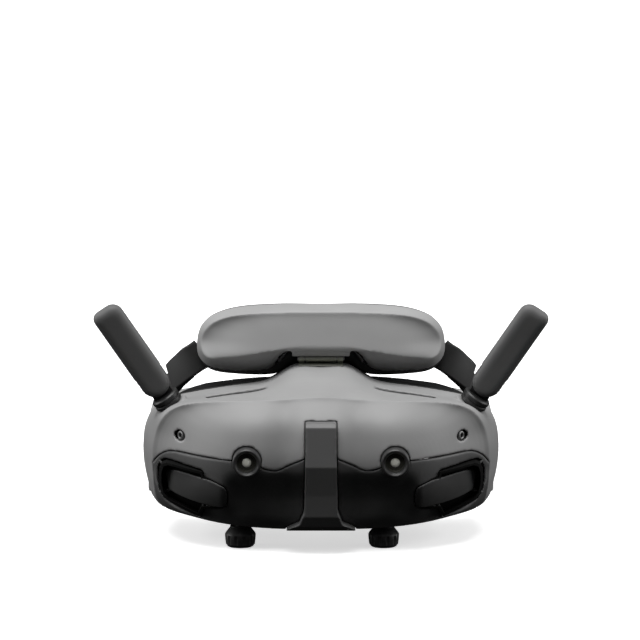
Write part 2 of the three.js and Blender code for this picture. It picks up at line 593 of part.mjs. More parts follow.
function makeRear() {
  const plate = alongY(rimOutline(0.2), REAR_Y + GAP, REAR_Y + 4);
  const lip = cut(
    alongY(rimOutline(WALL + 1.2), REAR_Y - 4, REAR_Y + 1),
    alongY(rimOutline(WALL + 3), REAR_Y - 5, REAR_Y + 2),
  );
  const windows = Object.values(EYE_X).map((x) => alongY([
    ...arc(17.4, 90, 270, 10, x, EYE_Z),
    ...arc(17.4, -90, 90, 10, x + IPD_TRAVEL, EYE_Z),
  ], 60, 80));
  const hood = cut(
    noseRoom(0), noseRoom(-1.6), box(-30, 30, 40, 80, -30, 11.4), box(-30, 30, 73.9, 80, -30, 60),
  );
  const notch = alongY(NOSE_NOTCH.map(([x, z]) => [x * 0.84, z - 2]), 60, 80);
  const posts = [-1, 1].flatMap((side) => [ROD.upperZ, ROD.lowerZ].map((z) => {
    const [x0, x1] = [46 * side, 50 * side].sort((a, b) => a - b);
    return cut(
      box(x0, x1, ROD.y - 3, REAR_Y + 1, z - 2.3, z + 2.3),
      rod([x0 - 1, ROD.y, z], [x1 + 1, ROD.y, z], ROD.r + 0.15, 10),
    );
  }));
  add("rear_frame", join(cut(plate, notch, noseRoom(-0.8)), cut(lip, noseRoom(-0.8)), hood, ...posts)
    .subtract(join(...windows)), MATERIAL.black);

  // The face cushion: deeper at the temples than over the nose.
  const contour = (x) => 94 + 12 * Math.min(1, (Math.abs(x) / 72) ** 2);
  const foamTop = (x) => 68.6 - 2.2 * (x / 48) ** 2 - 0.8 * (x / 48) ** 6;
  const rings = (shrink, y) => RIM.map(([x, z]) => {
    const share = 1 - shrink / Math.hypot(x, z - FACE_Z);
    const px = x * share;
    const pz = FACE_Z + (z - FACE_Z) * share;
    return [px, y === null ? contour(px) : y, z > FACE_Z + 12 ? Math.min(pz, foamTop(px)) : pz];
  });
  const body = skin(
    [rings(0.6, REAR_Y + 4.3), rings(0.4, 84), rings(2, null)], [0, REAR_Y + 4.3, FACE_Z], [0, 94, FACE_Z]);
  const hollow = skin(
    [rings(12, REAR_Y), rings(12, 84), rings(11, 112)], [0, REAR_Y, FACE_Z], [0, 112, FACE_Z]);
  add("face_foam", cut(body, hollow, alongY(NOSE_NOTCH, 60, 120)), MATERIAL.foam);
}

// ---------- forehead block ----------
const BLOCK_MIDDLE = 88;
const BLOCK_EDGE = [
  [0, 101.6, 61], [20, 101.3, 61.5], [36, 100, 64], [46, 97, 69], [52, 92, 75], [54.4, 86, 79],
  [53.6, 80.6, 76.5], [49, 78.6, 72], [39, 80.8, 66.5], [23, 83.2, 63.5], [14, 83.6, 62.6], [0, 83.6, 62],
];
const BLOCK_RIM = [
  [0, 103.2, 78], [20, 103, 78.6], [38, 101.2, 81], [49, 97.4, 84], [54.6, 92, 87], [56.6, 84.6, 89],
  [56, 77.4, 89], [50.5, 72.8, 86], [39, 71.4, 82.4], [23, 73, 79.6], [14, 82.4, 78], [0, 83.2, 78],
];
// The back tray reaches lower than the housing in front of it, behind the hinge.
const TRAY_RIM = [
  ...BLOCK_RIM.slice(0, 6),
  [56, 76.4, 89], [50.5, 71.2, 86], [39, 69.8, 82.4], [23, 69.8, 80.4], [14, 74, 80.4], [0, 77.4, 80.4],
];
const blockEdge = both(BLOCK_EDGE), blockRim = both(BLOCK_RIM), trayRim = both(TRAY_RIM);
// A lip under the middle of the block's front, as y and z, which hides the top of the hinge.
const LIP = { half: 12, side: [[61.4, 84.6], [61.7, 82.9], [62.9, 81.2], [64.1, 81], [64.1, 84.4]] };
const blockFront = (x) => 58 + 14 * (Math.abs(x) / 56) ** 4 + 2 * (x / 56) ** 2;

function blockRings(inset) {
  const shrink = (x, y, z) => {
    const share = 1 - inset / Math.hypot(x, z - BLOCK_MIDDLE);
    return [x * share, y, BLOCK_MIDDLE + (z - BLOCK_MIDDLE) * share];
  };
  const face = [0.35, 0.65, 0.88, 1].map((t) => blockEdge.map(([x, z, y]) => {
    const px = x * t, pz = BLOCK_MIDDLE + (z - BLOCK_MIDDLE) * t;
    return shrink(px, mix(blockFront(px), y, t ** 6) + inset, pz);
  }));
  const wall = [0.4, 1].map((s) => blockRim.map(([rx, rz, ry], i) => {
    const [ex, ez, ey] = blockEdge[i];
    const under = Math.min(1, Math.max(0, (86 - ez) / 5)); // the underside runs straight back
    const turn = mix(1 - (1 - s) ** 2, s, under);
    return shrink(mix(ex, rx, turn), mix(ey, ry, s) + inset * (1 - s), mix(ez, rz, turn));
  }));
  return { face, wall };
}

function makeForehead() {
  const outer = blockRings(0), inner = blockRings(2);
  const shell = skin(
    [...outer.face, ...outer.wall, ...inner.wall.reverse(), ...inner.face.reverse()],
    [0, 58, BLOCK_MIDDLE], [0, 60, BLOCK_MIDDLE],
  );
  add("forehead_shell", shell.add(alongX(LIP.side, -LIP.half, LIP.half)), MATERIAL.greyShell);

  const rimAt = (shrink, dy) => trayRim.map(([x, z, y]) => {
    const share = 1 - shrink / Math.hypot(x, z - BLOCK_MIDDLE);
    return [x * share, y + dy, BLOCK_MIDDLE + (z - BLOCK_MIDDLE) * share];
  });
  const middle = (dy) => [0, 78 + dy, BLOCK_MIDDLE];
  const back = skin([rimAt(1, GAP), rimAt(0.6, 2), rimAt(1.6, 5)], middle(GAP), middle(5));
  const { y, z, r, half, leafHalf } = HINGE;
  const leafSeat = box(-leafHalf - GAP, leafHalf + GAP, 76, 80.2, 80.8, 91.3);
  add("forehead_back", cut(back, leafSeat), MATERIAL.black);
  const pad = skin([rimAt(5, 5.3), rimAt(4.2, 10), rimAt(6, 17)], middle(5.3), middle(19));
  add("forehead_cushion", pad, MATERIAL.foam);

  // The friction hinge between the goggles and the block.
  const pinHole = rod([-20, y, z], [20, y, z], 1.3, 12);
  const ear = (x0, x1) => rod([x0, y, z], [x1, y, z], r);
  const foot = box(-half, half, y - 7.5, y + 1.4, 77.1, 77.9);
  const gapCut = rod([-leafHalf - 0.4, y, z], [leafHalf + 0.4, y, z], r + 0.5);
  const base = join(cut(foot, gapCut), ear(-half, -leafHalf - 0.4), ear(leafHalf + 0.4, half));
  add("hinge_base", cut(base, pinHole), MATERIAL.steel);
  const leaf = join(
    ear(-leafHalf, leafHalf), box(-leafHalf, leafHalf, y, y + 1.6, z, z + 2.9),
    box(-leafHalf, leafHalf, y, 79.8, z + 1.5, z + 2.9), box(-leafHalf, leafHalf, 78.6, 79.8, z + 1.5, 91),
  );
  add("hinge_leaf", cut(leaf, pinHole), MATERIAL.steel);
  add("hinge_pin", rod([-half - 0.6, y, z], [half + 0.6, y, z], 1, 12), MATERIAL.steel);
}

// ---------- headband ----------
// Centreline of the right band, from the forehead block to its straight end.
const BAND = [
  [53.6, 98.4, 77.2], [57.4, 98.5, 74], [61.4, 101.2, 69.9], [65.9, 107.2, 65.2], [69.8, 116, 58.6],
  [73.4, 131, 47.5], [76.3, 149, 33.5], [77.8, 164, 23.5], [ARM.x, 178, ARM.z + 0.4],
  [ARM.x, 192, ARM.z], [ARM.x, 206, ARM.z], [ARM.x, ARM.end, ARM.z],
];

// A strap of the given height and thickness along a stretch of the band's centreline.
function strap(side, from, to, height, thick, offset = 0) {
  const rings = [];
  const curve = new THREE.CatmullRomCurve3(BAND.map((p) => new THREE.Vector3(...p)), false, "centripetal");
  const steps = Math.ceil((to - from) * 22);
  for (let i = 0; i <= steps; i++) {
    const t = mix(from, to, i / steps);
    const p = curve.getPoint(t), d = curve.getTangent(t);
    const out = new THREE.Vector3(d.y, -d.x, 0).normalize();
    const up = new THREE.Vector3().crossVectors(out, d).normalize();
    const corner = (a, b) => {
      const q = p.clone().addScaledVector(out, a + offset).addScaledVector(up, b);
      return [q.x * side, q.y, q.z];
    };
    const w = thick / 2, h = height / 2;
    rings.push([
      corner(w, h - 1), corner(w - 0.8, h), corner(0.8 - w, h), corner(-w, h - 1),
      corner(-w, 1 - h), corner(0.8 - w, -h), corner(w - 0.8, -h), corner(w, 1 - h),
    ]);
  }
  const centre = (ring) => [0, 1, 2].map((k) => ring.reduce((s, q) => s + q[k], 0) / ring.length);
  return skin(rings, centre(rings[0]), centre(rings[rings.length - 1]));
}

function makeBands(name, side) {
  add(`band_link_${name}`, strap(side, 0, 0.28, 14, 2.4, 3.1), MATERIAL.black);
  add(`side_arm_${name}`, strap(side, 0.18, 1, 12, ARM.thick), MATERIAL.midGrey);
}

// ---------- rear unit ----------
const REAR_OUTER = [
  [0, 296], [12, 295.6], [36, 291.5], [58, 282], [72.6, 267], [80, 248], [82.4, 231], [82.4, REAR.mouth],
];
const REAR_INNER = [
  [0, 272], [22, 270.5], [44, 265.5], [60.5, 256.5], [70, 244], [73.2, 230], [73.2, REAR.mouth],
];

// A line of [x, y] points moved outwards by a distance.
function offset(line, distance) {
  return line.map(([x, y], i) => {
    const [ax, ay] = i ? line[i - 1] : [-line[1][0], line[1][1]];
    const [bx, by] = i < line.length - 1 ? line[i + 1] : [x, y - 10];
    const d = new THREE.Vector2(bx - ax, by - ay).normalize();
    return [i ? x - d.y * distance : 0, y + d.x * distance];
  });
}

// The room between two lines, on both sides, with its open ends moved forward.
function between(outer, inner, z0, z1, forward = 0) {
  const ends = (line) => line.map(([x, y]) => [x, y < REAR.mouth + 1 ? y - forward : y]);
  const halfLoop = (line) => [...ends(line).slice(1).reverse().map(([x, y]) => [-x, y]), ...ends(line)];
  return alongZ([...halfLoop(outer), ...halfLoop(inner).reverse()], z0, z1);
}

function makeRearUnit() {
  const { z0, z1, wall } = REAR;
  const cover = offset(REAR_INNER, wall);
  const shell = between(REAR_OUTER, offset(cover, GAP), z0, z1);
  const room = between(offset(REAR_OUTER, -wall), REAR_INNER, z0 + wall, z1 - wall, 5);
  const shaft = rod([0, 270, ADJUST.z], [0, 310, ADJUST.z], ADJUST.shaftR + 0.4);
  const buttons = BUTTONS.map(([, x, y, r]) => rod([x, y, z1 - 6], [x, y, z1 + 2], r + GAP));
  add("rear_shell", cut(shell, room, shaft, ...buttons), MATERIAL.greyShell);
  add("rear_cover", between(cover, REAR_INNER, z0 + 0.4, z1 - 0.4), MATERIAL.black);
  const padding = between(offset(REAR_INNER, -GAP), offset(REAR_INNER, -9), z0 + 3, z1 - 3);
  add("rear_cushion", padding.intersect(box(-64, 64, 225, 295, 0, 60)), MATERIAL.foam);

  add("adjust_knob", adjustKnob(), MATERIAL.black);
  for (const [name, x, y, r] of BUTTONS) {
    const cap = turned([
      [0, 0], [r + 0.9, 0], [r + 0.9, 1.2], [r, 1.2], [r, 4.4], [r - 0.4, 4.8], [0, 4.8],
    ], [x, y, z1 - wall - 1.8], [0, 0, 1]);
    add(name, cap, MATERIAL.black);
  }
  for (const [name, side] of SIDES) {
    const cell = rod([side * 17, 283.3, CELL.z], [side * 54, 272, CELL.z], CELL.r);
    add(`battery_cell_${name}`, cell, MATERIAL.cell);
  }
  add("battery_board", box(-15, 15, 278, 279.4, 4, 30), MATERIAL.board);
}

function adjustKnob() {
  const { y, r, depth, z } = ADJUST;
  const knob = turned([
    [0, 0], [r - 1.2, 0], [r, 1.4], [r, depth - 1], [r - 1, depth], [0, depth],
  ], [0, y, z], [0, 1, 0], 24);
  const grips = Array.from({ length: 12 }, (_, i) => {
    const a = (i / 12) * Math.PI * 2, reach = r + 0.5;
    return rod(
      [reach * Math.cos(a), y + 1, z + reach * Math.sin(a)],
      [reach * Math.cos(a), y + depth + 1, z + reach * Math.sin(a)], 1.2, 6);
  });
  const dish = turned([
    [0, depth - 1.2], [r - 4, depth - 0.8], [r - 3, depth + 1], [0, depth + 1],
  ], [0, y, z]);
  return join(cut(knob, ...grips, dish), rod([0, 284, z], [0, y + 1, z], ADJUST.shaftR));
}
for (const [name, side] of SIDES) {
  makeCamera(name, side);
  makeScrew(name, side);
  makeIntake(name, side);
  makeTopVent(name, side);
  makeAntenna(name, side);
  makeEyepiece(name);
  makeBands(name, side);
}
makeInside();
makeRear();
makeForehead();
makeRearUnit();

const goggles = new THREE.Group();
goggles.add(root);
export default goggles;
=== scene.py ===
# FPV goggles: fine surfaces, cushions, materials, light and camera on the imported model.
# Lengths are in millimetres; y counts backwards from the eye domes, as in the model's source.
import json
import math
import bmesh
import bpy
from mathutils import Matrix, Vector

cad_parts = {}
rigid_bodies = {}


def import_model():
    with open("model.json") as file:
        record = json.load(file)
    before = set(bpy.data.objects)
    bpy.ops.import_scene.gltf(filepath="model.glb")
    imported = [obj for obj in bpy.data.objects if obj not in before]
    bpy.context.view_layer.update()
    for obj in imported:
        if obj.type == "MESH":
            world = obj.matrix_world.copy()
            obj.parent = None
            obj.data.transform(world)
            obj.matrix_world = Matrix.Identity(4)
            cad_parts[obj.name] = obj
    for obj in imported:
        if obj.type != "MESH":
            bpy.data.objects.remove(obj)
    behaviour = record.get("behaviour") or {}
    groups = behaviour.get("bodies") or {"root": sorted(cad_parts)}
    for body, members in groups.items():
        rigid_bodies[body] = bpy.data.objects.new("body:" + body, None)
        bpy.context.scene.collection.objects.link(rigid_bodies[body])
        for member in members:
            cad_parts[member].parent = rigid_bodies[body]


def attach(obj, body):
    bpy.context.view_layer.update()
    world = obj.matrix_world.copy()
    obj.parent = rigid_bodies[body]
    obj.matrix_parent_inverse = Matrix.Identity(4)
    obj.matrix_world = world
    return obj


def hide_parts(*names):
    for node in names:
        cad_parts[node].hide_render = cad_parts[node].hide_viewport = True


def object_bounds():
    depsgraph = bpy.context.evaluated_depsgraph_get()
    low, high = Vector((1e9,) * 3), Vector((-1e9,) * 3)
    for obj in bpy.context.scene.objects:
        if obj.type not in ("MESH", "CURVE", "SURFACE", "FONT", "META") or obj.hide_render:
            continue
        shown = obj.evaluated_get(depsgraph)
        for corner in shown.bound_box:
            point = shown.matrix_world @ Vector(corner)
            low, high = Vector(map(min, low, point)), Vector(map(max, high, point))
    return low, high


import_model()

CAD_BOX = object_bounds()
MM = 0.001
FRONT_Y = -2.9  # front of the camera bezels, the foremost point
ORIGIN_Y = FRONT_Y - CAD_BOX[0].y / MM
SIDES = (("left", -1), ("right", 1))

# ---------- driving dimensions ----------
GAP = 0.3  # clearance between neighbouring pieces
WALL = 2.2  # housing wall
REAR_Y = 70  # back rim of the front housing
FACE_Z = 40  # height of the housing's middle
EYE_Z = 43  # height of the optical axes
EYE_X = {"left": -36, "right": 28}
IPD_TRAVEL = 8
THROUGH = (-8, 62)  # y range of a cut through the housing's front
NOSE_FRONT, NOSE_BACK = 44, 76
CAMERA_X, CAMERA_Z, CAMERA_R = 32.6, 43.3, 6.3
SCREW_X, SCREW_Z, SCREW_R = 62.7, 50.7, 2.2
KNOB_Y, KNOB_TOP = 32, 9.4
ANTENNA = {"x": 74.5, "y": 46, "z": 72, "lean": 33.4, "forward": 10, "r": 6.9, "length": 41.5, "thick": 8}
BOSS_R, BOSS_TOP_R = 8.8, 7.7
STEM_HOLE_R, COLLAR_HOLE_R = 3.7, 6.7
BLOCK_Z = 88  # height of the forehead block's middle
BLOCK_LEAN = 0.24  # the block's face leans back as it rises
ARM_X, ARM_Z, ARM_END = 78.2, 20, 231
REAR_TOP, REAR_MOUTH = 34, 171  # top of the rear unit, and the front ends of its arms
ADJUST_Z, ADJUST_R, ADJUST_Y, ADJUST_DEPTH = 18, 13.5, 296.6, 8

# Half outlines run from the top middle to the bottom middle: x, z and y of the front edge,
# then x and z of the back rim.
FRONT_EDGE = [
    (0, 70.5, 13), (14, 69.3, 14.5), (30, 68.5, 15), (45, 67.8, 18), (58, 66, 24), (66, 62.5, 31),
    (71, 57, 37), (74, 50, 42), (75.5, 42, 44), (75.3, 33, 45), (73.5, 25, 43), (69, 18.5, 39),
    (59.5, 14.5, 31), (45, 11.8, 24.5), (28, 10.3, 21), (12, 9.6, 20.5), (0, 9.2, 20),
]
BACK_RIM = [
    (0, 77), (12, 76.8), (24, 69.8), (42, 66.7), (57, 64.2), (68, 61.6), (75.4, 57.4), (79.4, 50),
    (80.6, 41.5), (80.3, 33), (78.8, 25), (76.4, 17), (70, 12.5), (50, 11.4), (28, 10.8), (12, 10.3),
    (0, 10),
]
# The front's depth is a plan by x and a rise by z, which differs between and beside the cameras.
PLAN = [(0, 1.5), (8, 2), (16, 5), (26, 3), (34, 3), (45, 6.5), (56, 13), (66, 22), (72, 31), (76, 40)]
RISE_SIDE = [
    (9, 17), (14, 11), (20, 6.5), (28, 2.5), (36, 0.5), (44, 0), (52, 0.8), (60, 2.4), (66, 5.6), (70, 9),
]
# Between the cameras the face turns sharply under, and stands upright again as a chin.
RISE_MIDDLE = [
    (9, 17), (12, 12.6), (15, 11), (20, 10.4), (26, 9.2), (31, 6.2), (35, 2.6), (38.5, 0.6), (44, 0),
    (52, 0.8), (60, 2.4), (66, 5.6), (70, 9),
]
UNDERCUT_FROM, UNDERCUT_WIDTH = 36, 9
SPLIT = [
    (14, 41), (19.8, 38.5), (26, 40), (32.6, 43.3), (40, 43), (51.4, 43.4), (62, 43.4), (68, 42.4),
    (72.4, 39.4), (75.4, 35.6),
]
# Where the dark shell ends on the cheek, as y and z.
CHEEK_SEAM = [(45.6, 42), (46, 34), (46.4, 28), (48, 23), (50.4, 18.6), (53, 15.2)]
INTAKE = [
    (51.8, 36.6), (52.6, 37.6), (66, 39), (69.4, 38.9), (71.8, 37.4), (73, 34), (73.3, 28), (72.2, 23),
    (69.6, 20), (62, 16.9), (54.4, 14.4), (53.2, 15), (51.4, 20),
]
# Straight vanes in the intake: x and z of one end, then of the other.
VANES = ((67, 32.4, 72.6, 37.4), (66, 25.2, 72.6, 22.6), (51.8, 22, 54, 14.2))
VANE_HALF = 0.55
PLATE = [
    (68, 34.5), (52.3, 34), (44.5, 31.6), (42, 29.4), (41.5, 24), (43.5, 20.8), (52.3, 21.4),
    (60, 22.6), (67.3, 24.8), (68.2, 27),
]
# The bar between the eyes, as half of its front (x and z) and as its side (y and z).
BAR_OUTLINE = [(0, 60.7), (6.8, 60.7), (6.8, 48), (7.4, 20), (9.5, 14.2), (15, 11.2), (15.5, 9.6), (0, 9.6)]
BAR_SIDE = [
    (1.2, 60.9), (-1.3, 59), (-2.4, 41.4), (2.2, 28), (4.6, 18), (8.4, 12.9), (14.5, 10.2), (22, 10.2),
    (17, 14), (15.8, 20), (13.6, 28), (8, 38), (7.6, 60.9),
]
# The top vents, as x and y: the slot, the grille's frame in it and one of its slanted fins.
VENT_SLOT = [(23.8, 41.2), (50.8, 37.7), (51.6, 45.8), (24.6, 49.4)]
VENT_FRAME = [(24.4, 43.4), (50.7, 40), (51.1, 45.2), (24.8, 48.7)]
VENT_FIN = [(0, 0), (0.6, -0.08), (1.0, 5), (0.4, 5.1)]
FIN_COUNT, FIN_X, FIN_Y, FIN_STEP_X, FIN_STEP_Y = 16, 25.6, 43.1, 1.62, 0.21
# The face foam's section, as shares of the way inwards and of the way back.
FOAM_SECTION = [
    (0.06, 0), (0, 0.06), (0, 0.35), (0, 0.65), (0.04, 0.88), (0.18, 0.98), (0.4, 1), (0.65, 0.97),
    (0.86, 0.9), (0.97, 0.78), (1, 0.6), (0.98, 0.3), (0.96, 0.06), (0.9, 0), (0.6, 0), (0.3, 0),
]
FOAM_OUTER, FOAM_INNER = 1.2, 11  # the section's two sides, measured inwards from the back rim
# The forehead block: x, z and y of its front edge and of the rim of its shell.
BLOCK_EDGE = [
    (0, 101.6, 61), (20, 101.3, 61.5), (36, 100, 64), (46, 97, 69), (52, 92, 75), (54.4, 86, 79),
    (53.6, 80.6, 76.5), (49, 78.6, 72), (39, 80.8, 66.5), (23, 83.2, 63.5), (14, 83.6, 62.6),
    (0, 83.6, 62),
]
BLOCK_RIM = [
    (0, 103.2, 78), (20, 103, 78.6), (38, 101.2, 81), (49, 97.4, 84), (54.6, 92, 87), (56.6, 84.6, 89),
    (56, 77.4, 89), (50.5, 72.8, 86), (39, 71.4, 82.4), (23, 73, 79.6), (14, 82.4, 78), (0, 83.2, 78),
]
# The back tray reaches lower than the housing in front of it, behind the hinge.
TRAY_RIM = BLOCK_RIM[:6] + [
    (56, 76.4, 89), (50.5, 71.2, 86), (39, 69.8, 82.4), (23, 69.8, 80.4), (14, 73, 80.4),
    (0, 75.6, 80.4),
]
# A lip under the middle of the block's front, as y and z, which hides the top of the hinge.
LIP_HALF = 13
LIP = [(61.2, 85), (61.4, 83), (62.1, 81.8), (63.2, 81), (64.2, 81), (64.2, 85)]
# The centreline of the band and the side arm, as x, y and z.
BAND = [
    (53.6, 98.4, 78.8), (57.4, 98.5, 75.2), (61.4, 101.2, 70.6), (65.9, 107.2, 65.4), (69.8, 116, 58.6),
    (73.4, 131, 47.5), (76.3, 149, 33.5), (77.8, 164, 23.5), (ARM_X, 178, ARM_Z + 0.4),
    (ARM_X, 192, ARM_Z), (ARM_X, 206, ARM_Z), (ARM_X, ARM_END, ARM_Z),
]
# Half lines of the rear unit seen from above: its outside, and the inside that faces the head.
REAR_OUTER = [
    (0, 296), (12, 295.6), (36, 291.5), (58, 282), (72.6, 267), (80, 248), (82.4, 231),
    (82.4, REAR_MOUTH),
]
REAR_INNER = [
    (0, 272), (22, 270.5), (44, 265.5), (60.5, 256.5), (70, 244), (73.2, 230), (73.2, REAR_MOUTH),
]
# Each button: node, body, x, y and radius.
BUTTONS = (("power_button", "power_key", 50, 274, 4), ("link_button", "link_key", 64, 266, 2.6))


# ---------- numbers ----------
def mix(a, b, t):
    return a + (b - a) * t


def spline(pairs, key):
    """A smooth value through (key, value) pairs."""
    i = 0
    while i < len(pairs) - 2 and key > pairs[i + 1][0]:
        i += 1

    def slope(j):
        a, b = pairs[max(0, j - 1)], pairs[min(len(pairs) - 1, j + 1)]
        return (b[1] - a[1]) / (b[0] - a[0])

    (k0, v0), (k1, v1) = pairs[i], pairs[i + 1]
    h = k1 - k0
    t = min(1, max(0, (key - k0) / h))
    return ((2 * t**3 - 3 * t**2 + 1) * v0 + (t**3 - 2 * t**2 + t) * h * slope(i)
            + (-2 * t**3 + 3 * t**2) * v1 + (t**3 - t**2) * h * slope(i + 1))


def curve_through(points, steps, closed=True):
    """Points on a smooth curve through the given ones, with `steps` to each stretch."""
    n = len(points)
    spans = n if closed else n - 1
    made = []
    for i in range(spans):
        if closed:
            p = [points[(i + k - 1) % n] for k in range(4)]
        else:
            p = [points[min(n - 1, max(0, i + k - 1))] for k in range(4)]
        for s in range(steps):
            t = s / steps
            made.append(tuple(
                0.5 * (2 * b + (c - a) * t + (2 * a - 5 * b + 4 * c - d) * t * t
                       + (3 * b - a - 3 * c + d) * t**3)
                for a, b, c, d in zip(*p)))
    if not closed:
        made.append(tuple(points[-1]))
    return made


def both(half):
    return list(half) + [(-p[0],) + tuple(p[1:]) for p in reversed(half[1:-1])]


def mirrored(points, side):
    return [(p[0] * side,) + tuple(p[1:]) for p in points]


def arc(r, start, end, steps, cx=0.0, cy=0.0):
    angles = [math.radians(mix(start, end, i / steps)) for i in range(steps + 1)]
    return [(cx + r * math.cos(a), cy + r * math.sin(a)) for a in angles]


def front_y(x, z):
    t = min(1, max(0, (abs(x) - UNDERCUT_FROM) / UNDERCUT_WIDTH))
    return spline(PLAN, abs(x)) + mix(spline(RISE_MIDDLE, z), spline(RISE_SIDE, z), t * t * (3 - 2 * t))


# ---------- meshes ----------
def add(name, data):
    obj = bpy.data.objects.new(name, data)
    bpy.context.scene.collection.objects.link(obj)
    return obj


def make(name, verts, faces):
    mesh = bpy.data.meshes.new(name)
    mesh.from_pydata([(x * MM, (y - ORIGIN_Y) * MM, z * MM) for x, y, z in verts], [], faces)
    mesh.update()
    return add(name, mesh)


def outward(obj):
    """Turn the faces to point out of a closed mesh."""
    bm = bmesh.new()
    bm.from_mesh(obj.data)
    bmesh.ops.recalc_face_normals(bm, faces=bm.faces)
    bm.to_mesh(obj.data)
    bm.free()
    return obj


def skin(name, rings, first=None, last=None):
    """A closed mesh through rings of points, closed at each end by a point, or by a flat face."""
    n = len(rings[0])
    verts = [p for ring in rings for p in ring]
    faces = []
    for k in range(len(rings) - 1):
        for i in range(n):
            a, b = k * n + i, k * n + (i + 1) % n
            faces.append((a, b, b + n, a + n))
    for point, base in ((first, 0), (last, (len(rings) - 1) * n)):
        if point is None:
            faces.append(tuple(range(base, base + n)))
            continue
        verts.append(point)
        faces += [(base + i, base + (i + 1) % n, len(verts) - 1) for i in range(n)]
    return outward(make(name, verts, faces))


def prism(name, outline, axis, low, high):
    """An outline pushed along an axis: outlines are (x, z) along Y, (x, y) along Z, (y, z) along X."""
    def at(p, h):
        return {"Y": (p[0], h, p[1]), "Z": (p[0], p[1], h), "X": (h, p[0], p[1])}[axis]

    return skin(name, [[at(p, low) for p in outline], [at(p, high) for p in outline]])


def lathe(name, profile, centre, axis=(0, 1, 0), segments=64):
    """A closed profile of (radius, height) points turned about an axis."""
    turn = Vector((0, 0, 1)).rotation_difference(Vector(axis).normalized())
    count = len(profile)
    verts, faces = [], []
    for i in range(segments):
        a = 2 * math.pi * i / segments
        for r, h in profile:
            p = turn @ Vector((r * math.cos(a), r * math.sin(a), h))
            verts.append(tuple(p + Vector(centre)))
    for i in range(segments):
        for k in range(count):
            a, b = i * count, ((i + 1) % segments) * count
            faces.append((a + k, b + k, b + (k + 1) % count, a + (k + 1) % count))
    obj = make(name, verts, faces)
    weld(obj)
    return outward(obj)


def weld(obj):
    bm = bmesh.new()
    bm.from_mesh(obj.data)
    near = 0.002 * MM
    bmesh.ops.remove_doubles(bm, verts=bm.verts, dist=near)
    bmesh.ops.dissolve_degenerate(bm, edges=bm.edges, dist=near)
    loose = [e for e in bm.edges if not e.link_faces]
    bmesh.ops.delete(bm, geom=loose, context="EDGES")
    bm.to_mesh(obj.data)
    bm.free()


def rod(name, a, b, r, end_r=None, segments=48):
    a, b = Vector(a), Vector(b)
    end_r = r if end_r is None else end_r
    return lathe(name, [(0, 0), (r, 0), (end_r, (b - a).length), (0, (b - a).length)], a, b - a, segments)


def block(name, x0, x1, y0, y1, z0, z1):
    return prism(name, [(x0, y0), (x1, y0), (x1, y1), (x0, y1)], "Z", z0, z1)


def duplicate(obj):
    twin = obj.copy()
    twin.data = obj.data.copy()
    bpy.context.scene.collection.objects.link(twin)
    return twin


def settle(obj):
    """Make an object's modifiers part of its mesh."""
    bpy.context.view_layer.update()
    graph = bpy.context.evaluated_depsgraph_get()
    mesh = bpy.data.meshes.new_from_object(obj.evaluated_get(graph))
    obj.modifiers.clear()
    obj.data = mesh
    return obj


def boolean(obj, tool, operation="DIFFERENCE"):
    change = obj.modifiers.new("cut", "BOOLEAN")
    change.operation = operation
    change.object = tool
    change.solver = "EXACT"
    settle(obj)
    bpy.data.objects.remove(tool)
    return obj


def cut(obj, *tools):
    for tool in tools:
        boolean(obj, tool)
    return obj


def join(obj, *others):
    for other in others:
        boolean(obj, other, "UNION")
    return obj


def fuse(obj, *others):
    """Add closed meshes to one that is rebuilt by `soften` next, which makes them one body."""
    bm = bmesh.new()
    bm.from_mesh(obj.data)
    for other in others:
        bm.from_mesh(other.data)
        bpy.data.objects.remove(other)
    bm.to_mesh(obj.data)
    bm.free()
    return obj


def rebuild(obj, voxel):
    remesh = obj.modifiers.new("remesh", "REMESH")
    remesh.mode = "VOXEL"
    remesh.voxel_size = voxel * MM


def soften(obj, voxel, rounds):
    """Round every edge the way a mould does: rebuild the mesh finely and smooth it."""
    rebuild(obj, voxel)
    smooth = obj.modifiers.new("smooth", "SMOOTH")
    smooth.factor = 0.5
    smooth.iterations = rounds
    settle(obj)
    return smooth_faces(obj)


def smooth_faces(obj, angle=None):
    for face in obj.data.polygons:
        face.use_smooth = True
    if angle:
        obj.data.set_sharp_from_angle(angle=math.radians(angle))
    return obj


def dress(obj, look):
    obj.data.materials.clear()
    obj.data.materials.append(MATERIAL[look])


def piece(obj, body, look, node):
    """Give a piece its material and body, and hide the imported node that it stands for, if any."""
    dress(obj, look)
    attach(obj, body)
    if node:
        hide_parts(node)


# ---------- materials ----------
SOCKETS = {
    "color": "Base Color", "roughness": "Roughness", "metallic": "Metallic", "normal": "Normal",
    "ior": "IOR", "coat": "Coat Weight", "sheen": "Sheen Weight", "sheen_roughness": "Sheen Roughness",
    "specular": "Specular IOR Level", "transmission": "Transmission Weight",
}


